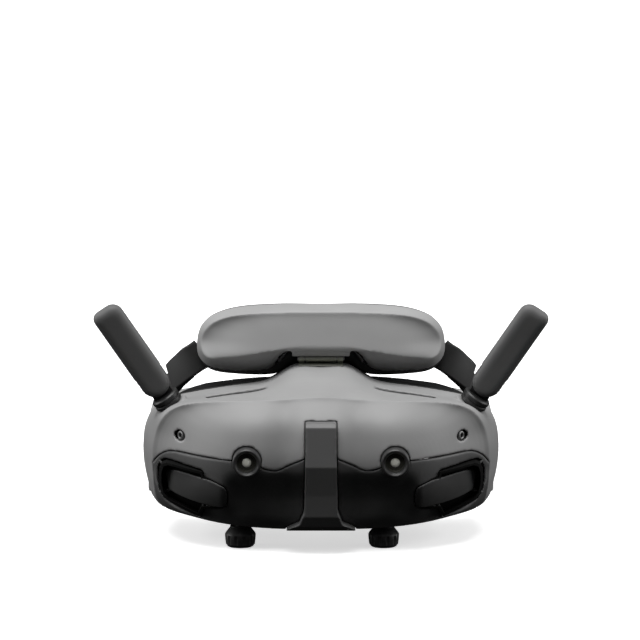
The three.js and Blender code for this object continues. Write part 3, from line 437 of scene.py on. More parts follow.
class Nodes:
    """A short hand for building one material's nodes."""

    def __init__(self, name):
        self.material = bpy.data.materials.new(name)
        self.material.use_nodes = True
        self.tree = self.material.node_tree
        self.shader = self.tree.nodes["Principled BSDF"]
        self.coords = self.tree.nodes.new("ShaderNodeTexCoord").outputs["Object"]

    def node(self, kind, **values):
        made = self.tree.nodes.new("ShaderNode" + kind)
        for key, value in values.items():
            if key in made.inputs:
                made.inputs[key].default_value = value
            else:
                setattr(made, key, value)
        return made

    def link(self, source, target):
        self.tree.links.new(source, target)

    def noise(self, size, detail=4.0, stretch=None):
        """Noise whose grains are about `size` mm across."""
        made = self.node("TexNoise", Scale=1 / (size * MM), Detail=detail)
        source = self.coords
        if stretch:
            mapping = self.node("Mapping", Scale=stretch)
            self.link(source, mapping.inputs["Vector"])
            source = mapping.outputs["Vector"]
        self.link(source, made.inputs["Vector"])
        return made.outputs["Fac"]

    def between(self, fac, low, high):
        made = self.node("MapRange")
        for key, value in (("From Min", 0.3), ("From Max", 0.7), ("To Min", low), ("To Max", high)):
            made.inputs[key].default_value = value
        self.link(fac, made.inputs["Value"])
        return made.outputs["Result"]

    def colours(self, fac, low, high, start=0.3, end=0.7):
        made = self.node("ValToRGB")
        made.color_ramp.elements[0].position = start
        made.color_ramp.elements[0].color = (*low, 1)
        made.color_ramp.elements[1].position = end
        made.color_ramp.elements[1].color = (*high, 1)
        self.link(fac, made.inputs["Fac"])
        return made.outputs["Color"]

    def bump(self, height, depth, strength, after=None):
        made = self.node("Bump", Strength=strength, Distance=depth * MM)
        self.link(height, made.inputs["Height"])
        if after:
            self.link(after, made.inputs["Normal"])
        return made.outputs["Normal"]

    def set(self, **values):
        for key, value in values.items():
            socket = self.shader.inputs[SOCKETS[key]]
            if isinstance(value, bpy.types.NodeSocket):
                self.link(value, socket)
            else:
                socket.default_value = value
        return self.material


def grey(value):
    return (value, value, value)


def plastic(name, low, high, roughness, grain, depth, strength, specular=0.4):
    """Moulded plastic: a fine spark-eroded grain, with broad soft changes of tone and gloss."""
    n = Nodes(name)
    broad = n.noise(18, 3)
    fine = n.noise(grain, 2)
    return n.set(
        color=n.colours(broad, low, high),
        roughness=n.between(broad, *roughness),
        normal=n.bump(fine, depth, strength),
        specular=specular,
    )


def knit(name, low, high):
    """A knitted cover: rows of small loops with a soft sheen."""
    n = Nodes(name)
    rows = n.node("TexWave", Scale=1 / (2.4 * MM), Distortion=1.2, Detail=1.0)
    rows.bands_direction = "X"
    n.link(n.coords, rows.inputs["Vector"])
    loops = n.node("TexWave", Scale=1 / (1.7 * MM), Distortion=2.0, Detail=1.0)
    loops.bands_direction = "Z"
    n.link(n.coords, loops.inputs["Vector"])
    weave = n.node("Math", operation="MULTIPLY")
    n.link(rows.outputs["Fac"], weave.inputs[0])
    n.link(loops.outputs["Fac"], weave.inputs[1])
    height = weave.outputs["Value"]
    return n.set(
        color=n.colours(height, low, high, 0.05, 0.8),
        roughness=0.9,
        sheen=0.4,
        sheen_roughness=0.5,
        normal=n.bump(n.noise(3, 3), 0.3, 0.3, n.bump(height, 0.15, 0.6)),
    )


def foam_skin(name, low, high):
    """Soft foam with a closed skin: fine pores and broad soft dents."""
    n = Nodes(name)
    pores = n.node("TexVoronoi", Scale=1 / (0.7 * MM))
    n.link(n.coords, pores.inputs["Vector"])
    return n.set(
        color=n.colours(n.noise(6), low, high),
        roughness=0.92,
        specular=0.15,
        sheen=0.03,
        normal=n.bump(n.noise(9, 2), 0.5, 0.25, n.bump(pores.outputs["Distance"], 0.06, 0.5)),
    )


def metal(name, colour, roughness):
    n = Nodes(name)
    lines = n.noise(1.2, 3, (1, 1, 14))
    return n.set(
        color=n.colours(lines, tuple(c * 0.85 for c in colour), colour),
        metallic=1.0,
        roughness=n.between(lines, roughness * 0.8, roughness * 1.3),
        normal=n.bump(lines, 0.01, 0.3),
    )


def glass(name, tint, roughness, transmission):
    n = Nodes(name)
    return n.set(
        color=(*tint, 1),
        roughness=n.between(n.noise(12), roughness, roughness * 2.2),
        transmission=transmission,
        ior=1.5,
        coat=0.6,
    )


def board(name):
    """Green solder mask with copper tracks under it."""
    n = Nodes(name)
    tracks = n.node("TexBrick", Scale=1 / (9 * MM))
    n.link(n.coords, tracks.inputs["Vector"])
    tracks.inputs["Color1"].default_value = (0.01, 0.07, 0.035, 1)
    tracks.inputs["Color2"].default_value = (0.012, 0.09, 0.045, 1)
    tracks.inputs["Mortar"].default_value = (0.03, 0.16, 0.07, 1)
    return n.set(color=tracks.outputs["Color"], roughness=n.between(n.noise(5), 0.35, 0.5))


# Grey plastics: low and high tone, roughness, then the grain's size, depth and strength.
GREY_PLASTICS = {
    "shell": ("shell_grey", 0.27, 0.29, (0.5, 0.58), 0.22, 0.012, 0.35),
    "lower": ("lower_charcoal", 0.07, 0.078, (0.4, 0.48), 0.22, 0.012, 0.35),
    "plate": ("plate_charcoal", 0.045, 0.053, (0.5, 0.6), 0.35, 0.03, 0.6),
    "bar": ("bar_charcoal", 0.12, 0.13, (0.42, 0.52), 0.3, 0.02, 0.5),
    "black": ("black_plastic", 0.012, 0.017, (0.45, 0.6), 0.3, 0.02, 0.4),
    "bezel": ("bezel_plastic", 0.03, 0.036, (0.3, 0.38), 0.2, 0.01, 0.3),
    "duct": ("duct_black", 0.002, 0.004, (0.8, 0.95), 0.3, 0.02, 0.4, 0.1),
    "knob": ("knob_plastic", 0.02, 0.03, (0.35, 0.5), 0.3, 0.02, 0.4),
    "antenna": ("antenna_plastic", 0.11, 0.125, (0.5, 0.62), 0.35, 0.04, 0.8),
    "collar": ("collar_plastic", 0.012, 0.02, (0.35, 0.5), 0.3, 0.02, 0.4),
    "arm": ("arm_plastic", 0.045, 0.055, (0.4, 0.5), 0.3, 0.01, 0.3),
    "link": ("link_rubber", 0.022, 0.03, (0.55, 0.7), 0.4, 0.03, 0.5),
    "block": ("block_grey", 0.32, 0.34, (0.5, 0.58), 0.22, 0.012, 0.35),
    "rear": ("rear_grey", 0.27, 0.29, (0.5, 0.58), 0.22, 0.012, 0.35),
    "cover": ("cover_black", 0.014, 0.02, (0.55, 0.7), 0.4, 0.03, 0.5),
}
MATERIAL = {}
for key, (name, low, high, *rest) in GREY_PLASTICS.items():
    MATERIAL[key] = plastic(name, grey(low), grey(high), *rest)
MATERIAL.update({
    "steel": metal("hinge_steel", (0.42, 0.43, 0.38), 0.32),
    "pin": metal("pin_steel", (0.5, 0.5, 0.5), 0.25),
    "screw": metal("screw_steel", (0.16, 0.16, 0.16), 0.4),
    "aluminium": metal("sink_aluminium", (0.75, 0.75, 0.76), 0.35),
    "lens": glass("camera_glass", (0.8, 0.8, 0.72), 0.2, 0.0),
    "cone": plastic("cone_olive", (0.022, 0.022, 0.018), (0.03, 0.03, 0.024), (0.25, 0.35), 0.3, 0.01, 0.3),
    "eye_lens": glass("eyepiece_glass", (0.8, 0.85, 0.9), 0.02, 0.9),
    "display": glass("display_glass", (0.02, 0.025, 0.03), 0.1, 0.0),
    "board": board("circuit_board"),
    "cell": plastic("cell_sleeve", (0.03, 0.1, 0.24), (0.04, 0.12, 0.28), (0.25, 0.35), 2, 0.02, 0.2),
    "foam": foam_skin("face_foam_skin", grey(0.003), grey(0.006)),
    "knit": knit("cushion_knit", grey(0.008), grey(0.03)),
    "led": plastic("led_window", (0.35, 0.5, 0.4), (0.4, 0.55, 0.45), (0.2, 0.3), 1, 0.01, 0.2),
})


# ---------- front housing ----------
EDGE = curve_through(both(FRONT_EDGE), 7)
RIM = curve_through(both(BACK_RIM), 7)
FINE = 0.5  # mesh size of the moulded shells
ANGLES = 720  # steps of the table that surface_y reads


def face_ring(t, inset=0.0):
    """A ring of the front at a share of the way from its middle to its edge."""
    ring = []
    for ex, ez, ey in EDGE:
        share = t * (1 - inset / math.hypot(ex, ez - FACE_Z))
        y = mix(front_y(ex * t, FACE_Z + (ez - FACE_Z) * t), ey, t**6)
        ring.append((ex * share, y + inset, FACE_Z + (ez - FACE_Z) * share))
    return ring


def wall_ring(s, inset=0.0):
    """A ring of the side wall at a share of the way from the front edge to the back rim."""
    turn = 1 - (1 - s) ** 2
    ring = []
    for (ex, ez, ey), (rx, rz) in zip(EDGE, RIM):
        x, z = mix(ex, rx, turn), mix(ez, rz, turn)
        share = 1 - inset / math.hypot(x, z - FACE_Z)
        ring.append((x * share, mix(ey, REAR_Y, s) + inset * (1 - s), FACE_Z + (z - FACE_Z) * share))
    return ring


def edge_by_angle():
    """The edge's distance from the middle, and its depth, for directions all round."""
    table = [None] * ANGLES
    n = len(EDGE)
    for k in range(ANGLES):
        angle = k / ANGLES * 2 * math.pi - math.pi
        for i in range(n):
            ax, az, ay = EDGE[i]
            bx, bz, by = EDGE[(i + 1) % n]
            a, b = math.atan2(az - FACE_Z, ax), math.atan2(bz - FACE_Z, bx)
            span = (b - a + math.pi) % (2 * math.pi) - math.pi
            part = (angle - a + math.pi) % (2 * math.pi) - math.pi
            if span and 0 <= part / span <= 1:
                share = part / span
                x, z = mix(ax, bx, share), mix(az, bz, share)
                table[k] = (math.hypot(x, z - FACE_Z), mix(ay, by, share))
                break
    return table


EDGE_BY_ANGLE = edge_by_angle()


def surface_y(x, z):
    """Depth of the housing's front at a place on it."""
    angle = math.atan2(z - FACE_Z, x)
    reach, ey = EDGE_BY_ANGLE[round((angle + math.pi) / (2 * math.pi) * ANGLES) % ANGLES]
    t = min(1, math.hypot(x, z - FACE_Z) / reach)
    return mix(front_y(x, z), ey, t**6)


def housing():
    face = [i / 36 for i in range(1, 37)]
    wall = [i / 12 for i in range(1, 13)]
    inner_face = [i / 14 for i in range(1, 15)]
    inner_wall = [i / 5 for i in range(1, 6)]
    rings = [face_ring(t) for t in face] + [wall_ring(s) for s in wall]
    rings += [wall_ring(s, WALL) for s in reversed(inner_wall)]
    rings += [face_ring(t, WALL) for t in reversed(inner_face)]
    y = front_y(0, FACE_Z)
    return skin("housing", rings, (0, y, FACE_Z), (0, y + WALL, FACE_Z))


def lower_region(name, grow=0.0):
    """The dark shell's room: the split line seen from the front, and the cheek's seam from the side."""
    line = curve_through([(x, z + grow) for x, z in SPLIT], 4, closed=False)
    middle = [(0, 44.5 + grow), (7.5, 44.2 + grow)]
    outer = [(84, 34 + grow), (84, 15.4), (70 + grow, 15.2), (70 + grow, 4), (0, 4)]
    region = prism(name, both(middle + line + outer), "Y", -12, REAR_Y + 2)
    seam = curve_through([(y + grow, z) for y, z in CHEEK_SEAM], 4, closed=False)
    front, back, bottom, top = -14, REAR_Y + 3, 2, 80
    side = [(front, top), (CHEEK_SEAM[0][0] + grow, top)] + seam
    side += [(back, CHEEK_SEAM[-1][1]), (back, bottom), (front, bottom)]
    return boolean(region, prism("side", side, "X", -90, 90), "INTERSECT")


def antenna_frame(side):
    """Places from an antenna's hinge: along its blade, across it, and out along its pin."""
    lean, forward = math.radians(ANTENNA["lean"]), math.radians(ANTENNA["forward"])
    flat = math.cos(forward)
    u = Vector((side * math.sin(lean) * flat, -math.sin(forward), math.cos(lean) * flat))
    h = (Vector((0, -1, 0)) + u * u.y).normalized()
    w = u.cross(h) * side
    pivot = Vector((side * ANTENNA["x"], ANTENNA["y"], ANTENNA["z"]))

    def at(along, across=0.0, out=0.0):
        return tuple(pivot + u * along + w * across + h * out)

    return at


def bar_slot():
    half = []
    for x, z in BAR_OUTLINE:
        if z < 10:
            z -= 1.5
        elif z > 60:
            z += GAP
        half.append((x + GAP if x else 0, z))
    return prism("bar_slot", both(half), "Y", -8, 24)


def nose_room():
    front = [(0, -26), (3 + GAP, -26), (3 + GAP, 12 + GAP), (0, 14 + GAP)]
    back = [(0, -26), (15 + GAP, -26), (12 + GAP, 20 + GAP), (0, 33 + GAP)]
    places = ((NOSE_FRONT - GAP, front), (NOSE_BACK, back))
    return skin("nose_room", [[(x, y, z) for x, z in both(half)] for y, half in places])


def plate_seat():
    """The floating plate's outline, a little larger all round."""
    middle_x, middle_z, grow_x, grow_z = 55, 28, 0.02, 0.06
    plate = curve_through(PLATE, 3)
    return [(x + (x - middle_x) * grow_x, z + (z - middle_z) * grow_z) for x, z in plate]


def cut_openings(shell, side):
    at = antenna_frame(side)
    camera_x, screw_x = side * CAMERA_X, side * SCREW_X
    cut(
        shell,
        rod("hole", (camera_x, -8, CAMERA_Z), (camera_x, 12, CAMERA_Z), CAMERA_R + GAP),
        rod("hole", (screw_x, 5, SCREW_Z), (screw_x, 40, SCREW_Z), SCREW_R + GAP),
        rod("hole", at(-30), at(0.1), STEM_HOLE_R),
        rod("hole", at(-12.45), at(0.2), COLLAR_HOLE_R),
        prism("vent", mirrored(VENT_SLOT, side), "Z", 60, 75),
    )


def cut_lower_openings(shell):
    for _, side in SIDES:
        cut(
            shell,
            prism("intake", mirrored(INTAKE, side), "Y", *THROUGH),
            prism("plate_seat", mirrored(plate_seat(), side), "Y", *THROUGH),
        )
    half = 3.4
    for x in EYE_X.values():
        cut(shell, block("slot", x - half, x + IPD_TRAVEL + half, KNOB_Y - half, KNOB_Y + half, 4, 18))


def make_housing():
    whole = housing()
    for _, side in SIDES:
        at = antenna_frame(side)
        boolean(whole, rod("boss", at(-20), at(-12.6), BOSS_R, BOSS_TOP_R), "UNION")
    cut(whole, bar_slot(), nose_room())
    for _, side in SIDES:
        cut_openings(whole, side)
    lower = duplicate(whole)
    lower.name = "lower_housing"
    whole.name = "upper_housing"
    boolean(whole, lower_region("region", GAP))
    boolean(lower, lower_region("region"), "INTERSECT")
    cut_lower_openings(lower)
    soften(whole, FINE, 5)
    soften(lower, FINE, 4)
    piece(whole, "front_unit", "shell", "front_shell_upper")
    piece(lower, "front_unit", "lower", "front_shell_lower")


def make_bar():
    bar = prism("bar", both(BAR_OUTLINE), "Y", -6, 24)
    boolean(bar, prism("side", BAR_SIDE, "X", -20, 20), "INTERSECT")
    soften(bar, 0.4, 3)
    piece(bar, "front_unit", "bar", "nose_bar")


def slab(name, x0, x1, z0, z1, d0, d1, steps=48):
    """A slab that follows the front surface, between two depths measured from it."""
    rows = steps // 2
    verts, faces = [], []
    for depth in (d0, d1):
        for i in range(steps + 1):
            for k in range(rows + 1):
                x, z = mix(x0, x1, i / steps), mix(z0, z1, k / rows)
                verts.append((x, surface_y(x, z) + depth, z))
    n = (steps + 1) * (rows + 1)
    for i in range(steps):
        for k in range(rows):
            a = i * (rows + 1) + k
            b = a + rows + 1
            faces.append((a, b, b + 1, a + 1))
            faces.append((n + a, n + a + 1, n + b + 1, n + b))
    rim = [i * (rows + 1) for i in range(steps + 1)]
    rim += [steps * (rows + 1) + k for k in range(1, rows + 1)]
    rim += [i * (rows + 1) + rows for i in range(steps - 1, -1, -1)]
    rim += [k for k in range(rows - 1, 0, -1)]
    for a, b in zip(rim, rim[1:] + rim[:1]):
        faces.append((a, b, b + n, a + n))
    return outward(make(name, verts, faces))


def make_intake(name, side):
    plate = slab("plate", side * 39, side * 71, 18, 37, -1.6, 0.2)
    boolean(plate, prism("outline", mirrored(curve_through(PLATE, 3), side), "Y", *THROUGH), "INTERSECT")
    for x0, z0, x1, z1 in VANES:
        across = Vector((z0 - z1, x1 - x0)).normalized() * VANE_HALF
        strip = [(x0 + across.x, z0 + across.y), (x1 + across.x, z1 + across.y),
                 (x1 - across.x, z1 - across.y), (x0 - across.x, z0 - across.y)]
        vane = slab("vane", side * 50, side * 74, 13, 41, -0.6, 2.6)
        boolean(vane, prism("strip", mirrored(strip, side), "Y", *THROUGH), "INTERSECT")
        join(plate, vane)
    plate.name = f"intake_vane_plate_{name}"
    soften(plate, 0.35, 2)
    piece(plate, "front_unit", "plate", f"intake_plate_{name}")


def make_camera(name, side):
    r, centre = CAMERA_R, (side * CAMERA_X, 0, CAMERA_Z)
    bezel = lathe(f"camera_ring_{name}", [
        (4.4, 8), (4.4, 0.6), (4.55, -0.6), (4.2, -1.0), (4.2, -1.5), (4.5, -1.8), (5.0, -2.6),
        (5.3, -2.85), (5.7, -2.85), (r - 0.15, -2.5), (r, -2.1), (r, 8),
    ], centre, segments=96)
    piece(smooth_faces(bezel, 50), "front_unit", "bezel", f"camera_bezel_{name}")
    cone = lathe(f"camera_cone_{name}", [
        (4.3, -1.0), (4.3, 0.4), (2.1, 0.4), (2.1, -0.4), (3.5, -0.45), (3.75, -1.1), (4.1, -1.2),
    ], centre, segments=72)
    piece(smooth_faces(cone, 50), "front_unit", "cone", None)
    angles = [math.radians(15 * k) for k in range(1, 7)]
    dome = [(0, -1.1)] + [(2.05 * math.sin(a), -0.3 - 0.8 * math.cos(a)) for a in angles]
    lens = lathe(f"camera_eye_{name}", dome + [(2.05, 0.5), (3.9, 0.6), (3.9, 6.5), (0, 6.5)], centre)
    piece(smooth_faces(lens, 60), "front_unit", "lens", f"camera_lens_{name}")


def make_screw(name, side):
    r, y = SCREW_R, surface_y(SCREW_X, SCREW_Z)
    slope_x = surface_y(SCREW_X + 1, SCREW_Z) - y
    slope_z = surface_y(SCREW_X, SCREW_Z + 1) - y
    head = lathe(f"screw_{name}", [
        (0, 2.6), (0, 1.1), (0.75, 1.1), (0.85, 0.2), (1.05, 0.05), (r - 0.5, 0), (r - 0.15, 0.15),
        (r, 0.5), (r, 2.6),
    ], (side * SCREW_X, y + 0.4, SCREW_Z), (-side * slope_x, 1, -slope_z), 48)
    piece(smooth_faces(head, 40), "front_unit", "screw", f"housing_screw_{name}")


def make_vent(name, side):
    """The grille in the top slot: a frame and slanted fins."""
    floor = prism("floor", mirrored(VENT_FRAME, side), "Z", 62.9, 63.4)
    for i in range(FIN_COUNT):
        x, y = FIN_X + i * FIN_STEP_X, FIN_Y - i * FIN_STEP_Y
        fin = [(x + dx, y + dy) for dx, dy in VENT_FIN]
        join(floor, prism("fin", mirrored(fin, side), "Z", 63.2, 64.8))
    floor.name = f"top_grille_{name}"
    smooth_faces(floor, 30)
    piece(floor, "front_unit", "black", f"top_vent_grille_{name}")


# ---------- antennas ----------
def plate_in(at, outline, low, high):
    """A flat plate across an antenna's hinge pin, from an outline of (across, along) points."""
    return skin("plate", [[at(b, a, low) for a, b in outline], [at(b, a, high) for a, b in outline]])


def blade_outline(inset):
    """A blade as (across, along): round at its hinge, with two different corners at its tip."""
    edge, tip = ANTENNA["r"] - inset, ANTENNA["length"] - inset
    outer, inner = 3.6 - 0.5 * inset, 5 - 0.5 * inset
    return (arc(edge, 180, 360, 24) + arc(outer, 0, 90, 8, edge - outer, tip - outer)
            + arc(inner, 90, 180, 8, inner - edge, tip - inner))


def make_blade(name, at):
    r, half = ANTENNA["r"], ANTENNA["thick"] / 2
    angles = [math.radians(mix(-90, 90, k / 16)) for k in range(17)]
    levels = [(half * math.sin(a), r * 0.62 * (1 - math.cos(a)) ** 1.3) for a in angles]
    blade = skin("blade", [[at(b, a, h) for a, b in blade_outline(inset)] for h, inset in levels])
    slot = [(-r - 1, -r - 1), (r + 1, -r - 1), (r + 1, 5.6), (-r - 1, 5.6)]
    cut(blade, plate_in(at, slot, -1.8, 1.8), rod("hole", at(0, 0, -3.3), at(0, 0, 3.3), 1.7))
    groove = lathe("groove", [(r - 0.9, 0.6), (r - 0.9, 4.5), (r - 1.5, 4.5), (r - 1.5, 0.6)],
                   at(0), Vector(at(0, 0, 1)) - Vector(at(0)), 96)
    upper_half = [(-r - 2, -0.5), (r + 2, -0.5), (r + 2, r + 2), (-r - 2, r + 2)]
    cut(blade, cut(groove, plate_in(at, upper_half, -1, 6)))
    blade.name = f"antenna_{name}"
    soften(blade, 0.35, 2)
    piece(blade, f"antenna_{name}", "antenna", f"antenna_blade_{name}")


def make_antenna(name, side):
    at = antenna_frame(side)
    make_blade(name, at)
    collar = lathe(f"antenna_collar_{name}", [
        (0, -20), (3.4, -20), (3.4, -12.2), (5.9, -12.2), (6.4, -11.7), (6.4, -10.6), (5.9, -10.3),
        (5.9, -9.7), (6.4, -9.4), (6.4, -8.0), (5.8, -7.4), (0, -7.4),
    ], at(0), Vector(at(1)) - Vector(at(0)), 72)
    tongue = [(-4.6, -7.9), (4.6, -7.9)] + arc(4.6, 0, 180, 24)
    join(collar, plate_in(at, tongue, -1.5, 1.5))
    cut(collar, rod("hole", at(0, 0, -9), at(0, 0, 9), 1.8))
    collar.name = f"antenna_collar_{name}"
    smooth_faces(collar, 35)
    piece(collar, "front_unit", "collar", f"antenna_socket_{name}")
    pin = rod(f"antenna_axle_{name}", at(0, 0, -3.1), at(0, 0, 3.1), 1.4)
    piece(smooth_faces(pin, 40), "front_unit", "pin", f"antenna_pin_{name}")


# ---------- eyepieces ----------
def make_knob(name):
    x = EYE_X[name]
    knob = lathe("knob", [
        (0, 0), (5.2, 0), (5.7, 0.25), (6.5, 1.3), (6.75, 3.4), (6.9, 5.6), (6.6, 6.3), (4.9, 8.5),
        (4.6, 8.9), (4.6, KNOB_TOP), (2.4, KNOB_TOP), (2.4, 23.2), (2.2, 23.2), (2.2, 27.2), (0, 27.2),
    ], (x, KNOB_Y, 0), (0, 0, 1), 144)
    flutes, reach = 12, 7.3
    for i in range(flutes):
        a = 2 * math.pi * (i + 0.5) / flutes
        px, py = x + reach * math.cos(a), KNOB_Y + reach * math.sin(a)
        cut(knob, rod("groove", (px, py, 0.9), (px, py, 5.6), 1.0, segments=16))
    knob.name = f"focus_wheel_{name}"
    piece(smooth_faces(knob, 30), f"knob_{name}", "knob", f"focus_knob_{name}")
    dot = lathe(f"focus_dot_{name}", [(0, -0.12), (0.35, -0.12), (0.45, 0), (0.45, 0.3), (0, 0.3)],
                (x, KNOB_Y - 5.6, 7.1), (0, 1, -0.85), 24)
    piece(smooth_faces(dot, 40), f"knob_{name}", "led", None)


def make_eyepiece(name):
    centre = (EYE_X[name], 0, EYE_Z)
    hood = lathe(f"eyepiece_hood_{name}", [
        (15.2, 60), (15.2, 79.6), (15.6, 80.6), (16.1, 81), (16.55, 80.6), (16.6, 79.8), (16.6, 60),
    ], centre, segments=96)
    piece(smooth_faces(hood, 40), f"eyepiece_{name}", "black", None)
    ring = lathe(f"lens_ring_{name}", [
        (11.9, 70), (11.9, 75.4), (12.6, 77.6), (13.2, 78), (14.3, 78), (14.7, 77.6), (14.7, 70),
    ], centre, segments=96)
    piece(smooth_faces(ring, 40), f"lens_{name}", "black", None)
    angles = [math.radians(10 * k) for k in range(8, 0, -1)]
    bulge = [(11.7 * math.sin(a), 74.6 + 2.6 * math.cos(a)) for a in angles]
    profile = [(0, 70.6), (7, 71.4), (11.7, 73), (11.7, 74.6)] + bulge + [(0, 77.2)]
    lens = lathe(f"eyepiece_lens_{name}", profile, centre, segments=96)
    piece(smooth_faces(lens, 40), f"lens_{name}", "eye_lens", f"eye_lens_{name}")


# ---------- padding ----------
SWELL_FRAMES = 20


def puff(obj, voxel, cap, pressure=4.0):
    """Swell a pad as stuffed cloth does, with no point moving further than `cap`."""
    rebuild(obj, voxel)
    settle(obj)
    start = [v.co.copy() for v in obj.data.vertices]
    cloth = obj.modifiers.new("cloth", "CLOTH")
    cloth.settings.quality = 5
    cloth.settings.mass = 0.2
    cloth.settings.tension_stiffness = 12
    cloth.settings.compression_stiffness = 12
    cloth.settings.use_pressure = True
    cloth.settings.uniform_pressure_force = pressure
    cloth.settings.effector_weights.gravity = 0
    scene = bpy.context.scene
    for f in range(SWELL_FRAMES):
        scene.frame_set(f + 1)
    graph = bpy.context.evaluated_depsgraph_get()
    moved = [v.co.copy() for v in obj.evaluated_get(graph).data.vertices]
    obj.modifiers.clear()
    scene.frame_set(1)
    for vertex, before, after in zip(obj.data.vertices, start, moved):
        step = after - before
        if step.length > cap * MM:
            step = step.normalized() * cap * MM
        vertex.co = before + step
    smooth = obj.modifiers.new("smooth", "SMOOTH")
    smooth.iterations = 4
    fine = obj.modifiers.new("fine", "SUBSURF")
    fine.levels = fine.render_levels = 1
    settle(obj)
    return smooth_faces(obj)


def face_contour(x):
    return 94 + 12 * min(1, (abs(x) / 72) ** 2)


def foam_top(x):
    return 68.6 - 2.2 * (x / 48) ** 2 - 0.8 * (x / 48) ** 6


def make_face_foam():
    """A soft pad swept round the back of the housing, open at the nose."""
    n = len(RIM)
    opening = 12  # points of the rim left free on each side of the nose
    start, end = round(n * 0.5) + opening, round(n * 1.5) - opening
    rings = []
    for i in range(start, end + 1):
        rx, rz = RIM[i % n]
        section = []
        for a, b in FOAM_SECTION:
            inset = mix(FOAM_OUTER, FOAM_INNER, a)
            share = 1 - inset / math.hypot(rx, rz - FACE_Z)
            x, z = rx * share, FACE_Z + (rz - FACE_Z) * share
            y = mix(REAR_Y + 4.6, face_contour(x) - 1.2, b)
            if rz > FACE_Z + 12:
                z = min(z, foam_top(x) - 0.3 - 5 * a)
            section.append((x, y, z))
        rings.append(section)
    foam = skin("face_pad", rings)
    puff(foam, 2.2, 1.5, 3.0)
    piece(foam, "front_unit", "foam", "face_foam")


# ---------- forehead block ----------
BLOCK_EDGE_FINE = curve_through(both(BLOCK_EDGE), 10)
BLOCK_RIM_FINE = curve_through(both(BLOCK_RIM), 10)
TRAY_RIM_FINE = curve_through(both(TRAY_RIM), 10)


def block_front(x):
    return 58 + 14 * (abs(x) / 56) ** 4 + 2 * (x / 56) ** 2


def shrink(x, y, z, by):
    """A point moved inwards, towards the line through the block's middle."""
    share = 1 - by / math.hypot(x, z - BLOCK_Z)
    return (x * share, y, BLOCK_Z + (z - BLOCK_Z) * share)


def block_rings(inset, face_steps, wall_steps):
    """Rings of the block's face from its middle out, then of its wall back to its rim."""
    rings = []
    for k in range(1, face_steps + 1):
        t = k / face_steps
        ring = []
        for ex, ez, ey in BLOCK_EDGE_FINE:
            y = mix(block_front(ex * t) + BLOCK_LEAN * (ez - BLOCK_Z) * t, ey, t**6)
            ring.append(shrink(ex * t, y + inset, BLOCK_Z + (ez - BLOCK_Z) * t, inset))
        rings.append(ring)
    for k in range(1, wall_steps + 1):
        s = k / wall_steps
        ring = []
        for (ex, ez, ey), (rx, rz, ry) in zip(BLOCK_EDGE_FINE, BLOCK_RIM_FINE):
            under = min(1, max(0, (86 - ez) / 5))  # the underside runs straight back
            turn = mix(1 - (1 - s) ** 2, s, under)
            y = mix(ey, ry, s) + inset * (1 - s)
            ring.append(shrink(mix(ex, rx, turn), y, mix(ez, rz, turn), inset))
        rings.append(ring)
    return rings


def rim_ring(by, dy):
    return [shrink(x, y + dy, z, by) for x, z, y in TRAY_RIM_FINE]


def make_forehead():
    rings = block_rings(0, 30, 10) + list(reversed(block_rings(2, 8, 3)))
    shell = skin("forehead_housing", rings, (0, 58, BLOCK_Z), (0, 60, BLOCK_Z))
    fuse(shell, prism("lip", LIP, "X", -LIP_HALF, LIP_HALF))
    soften(shell, FINE, 10)
    piece(shell, "headband", "block", "forehead_shell")

    rings = [rim_ring(by, dy) for by, dy in ((1, GAP), (0.5, 1.2), (0.4, 3), (1.6, 5))]
    back = skin("forehead_tray", rings, (0, 78.3, BLOCK_Z), (0, 83, BLOCK_Z))
    cut(back, block("seat", -7.3, 7.3, 76, 80.2, 80.8, 91.3))
    soften(back, FINE, 2)
    piece(back, "headband", "black", "forehead_back")

    rings = [rim_ring(by, dy) for by, dy in ((6.4, 5.8), (5.4, 7), (5.2, 11), (6, 14), (9, 16))]
    pad = skin("forehead_pad", rings, (0, 83.4, BLOCK_Z), (0, 96, BLOCK_Z))
    puff(pad, 2.5, 2.0)
    piece(pad, "headband", "knit", "forehead_cushion")


# ---------- headband ----------
def rounded_box(width, height, corner):
    points = []
    for sa, sb, turn in ((1, 1, 0), (-1, 1, 90), (-1, -1, 180), (1, -1, 270)):
        cx, cy = sa * (width / 2 - corner), sb * (height / 2 - corner)
        points += arc(corner, turn, turn + 90, 3, cx, cy)
    return points


def strap(name, side, start, end, height, thick, aside=0.0):
    """A strap along a stretch of the band's centreline, standing on its edge."""
    path = curve_through(BAND, 12, closed=False)
    first, last = round(start * (len(path) - 1)), round(end * (len(path) - 1))
    rings = []
    for i in range(first, last + 1):
        p = Vector(path[i])
        d = Vector(path[min(i + 1, len(path) - 1)]) - Vector(path[max(i - 1, 0)])
        out = Vector((d.y, -d.x, 0)).normalized()
        up = out.cross(d).normalized()
        ring = []
        for a, b in rounded_box(thick, height, min(1.2, thick * 0.4)):
            q = p + out * (a + aside) + up * b
            ring.append((q.x * side, q.y, q.z))
        rings.append(ring)
    return skin(name, rings)


def make_bands(name, side):
    link = strap(f"band_strap_{name}", side, 0, 0.28, 14, 2.4, 3.1)
    piece(smooth_faces(link, 50), "headband", "link", f"band_link_{name}")
    arm = strap(f"band_arm_{name}", side, 0.18, 1, 12, 3)
    piece(smooth_faces(arm, 50), "headband", "arm", f"side_arm_{name}")


# ---------- rear unit ----------
def shifted(line, shift):
    """A half line moved square to itself: outwards, or inwards when negative."""
    moved = []
    for i, (x, y) in enumerate(line):
        ax, ay = line[i - 1] if i else (-line[1][0], line[1][1])
        bx, by = line[i + 1] if i < len(line) - 1 else (x, y - 10)
        d = Vector((bx - ax, by - ay)).normalized()
        moved.append((x - d.y * shift if i else 0, y + d.x * shift))
    return moved


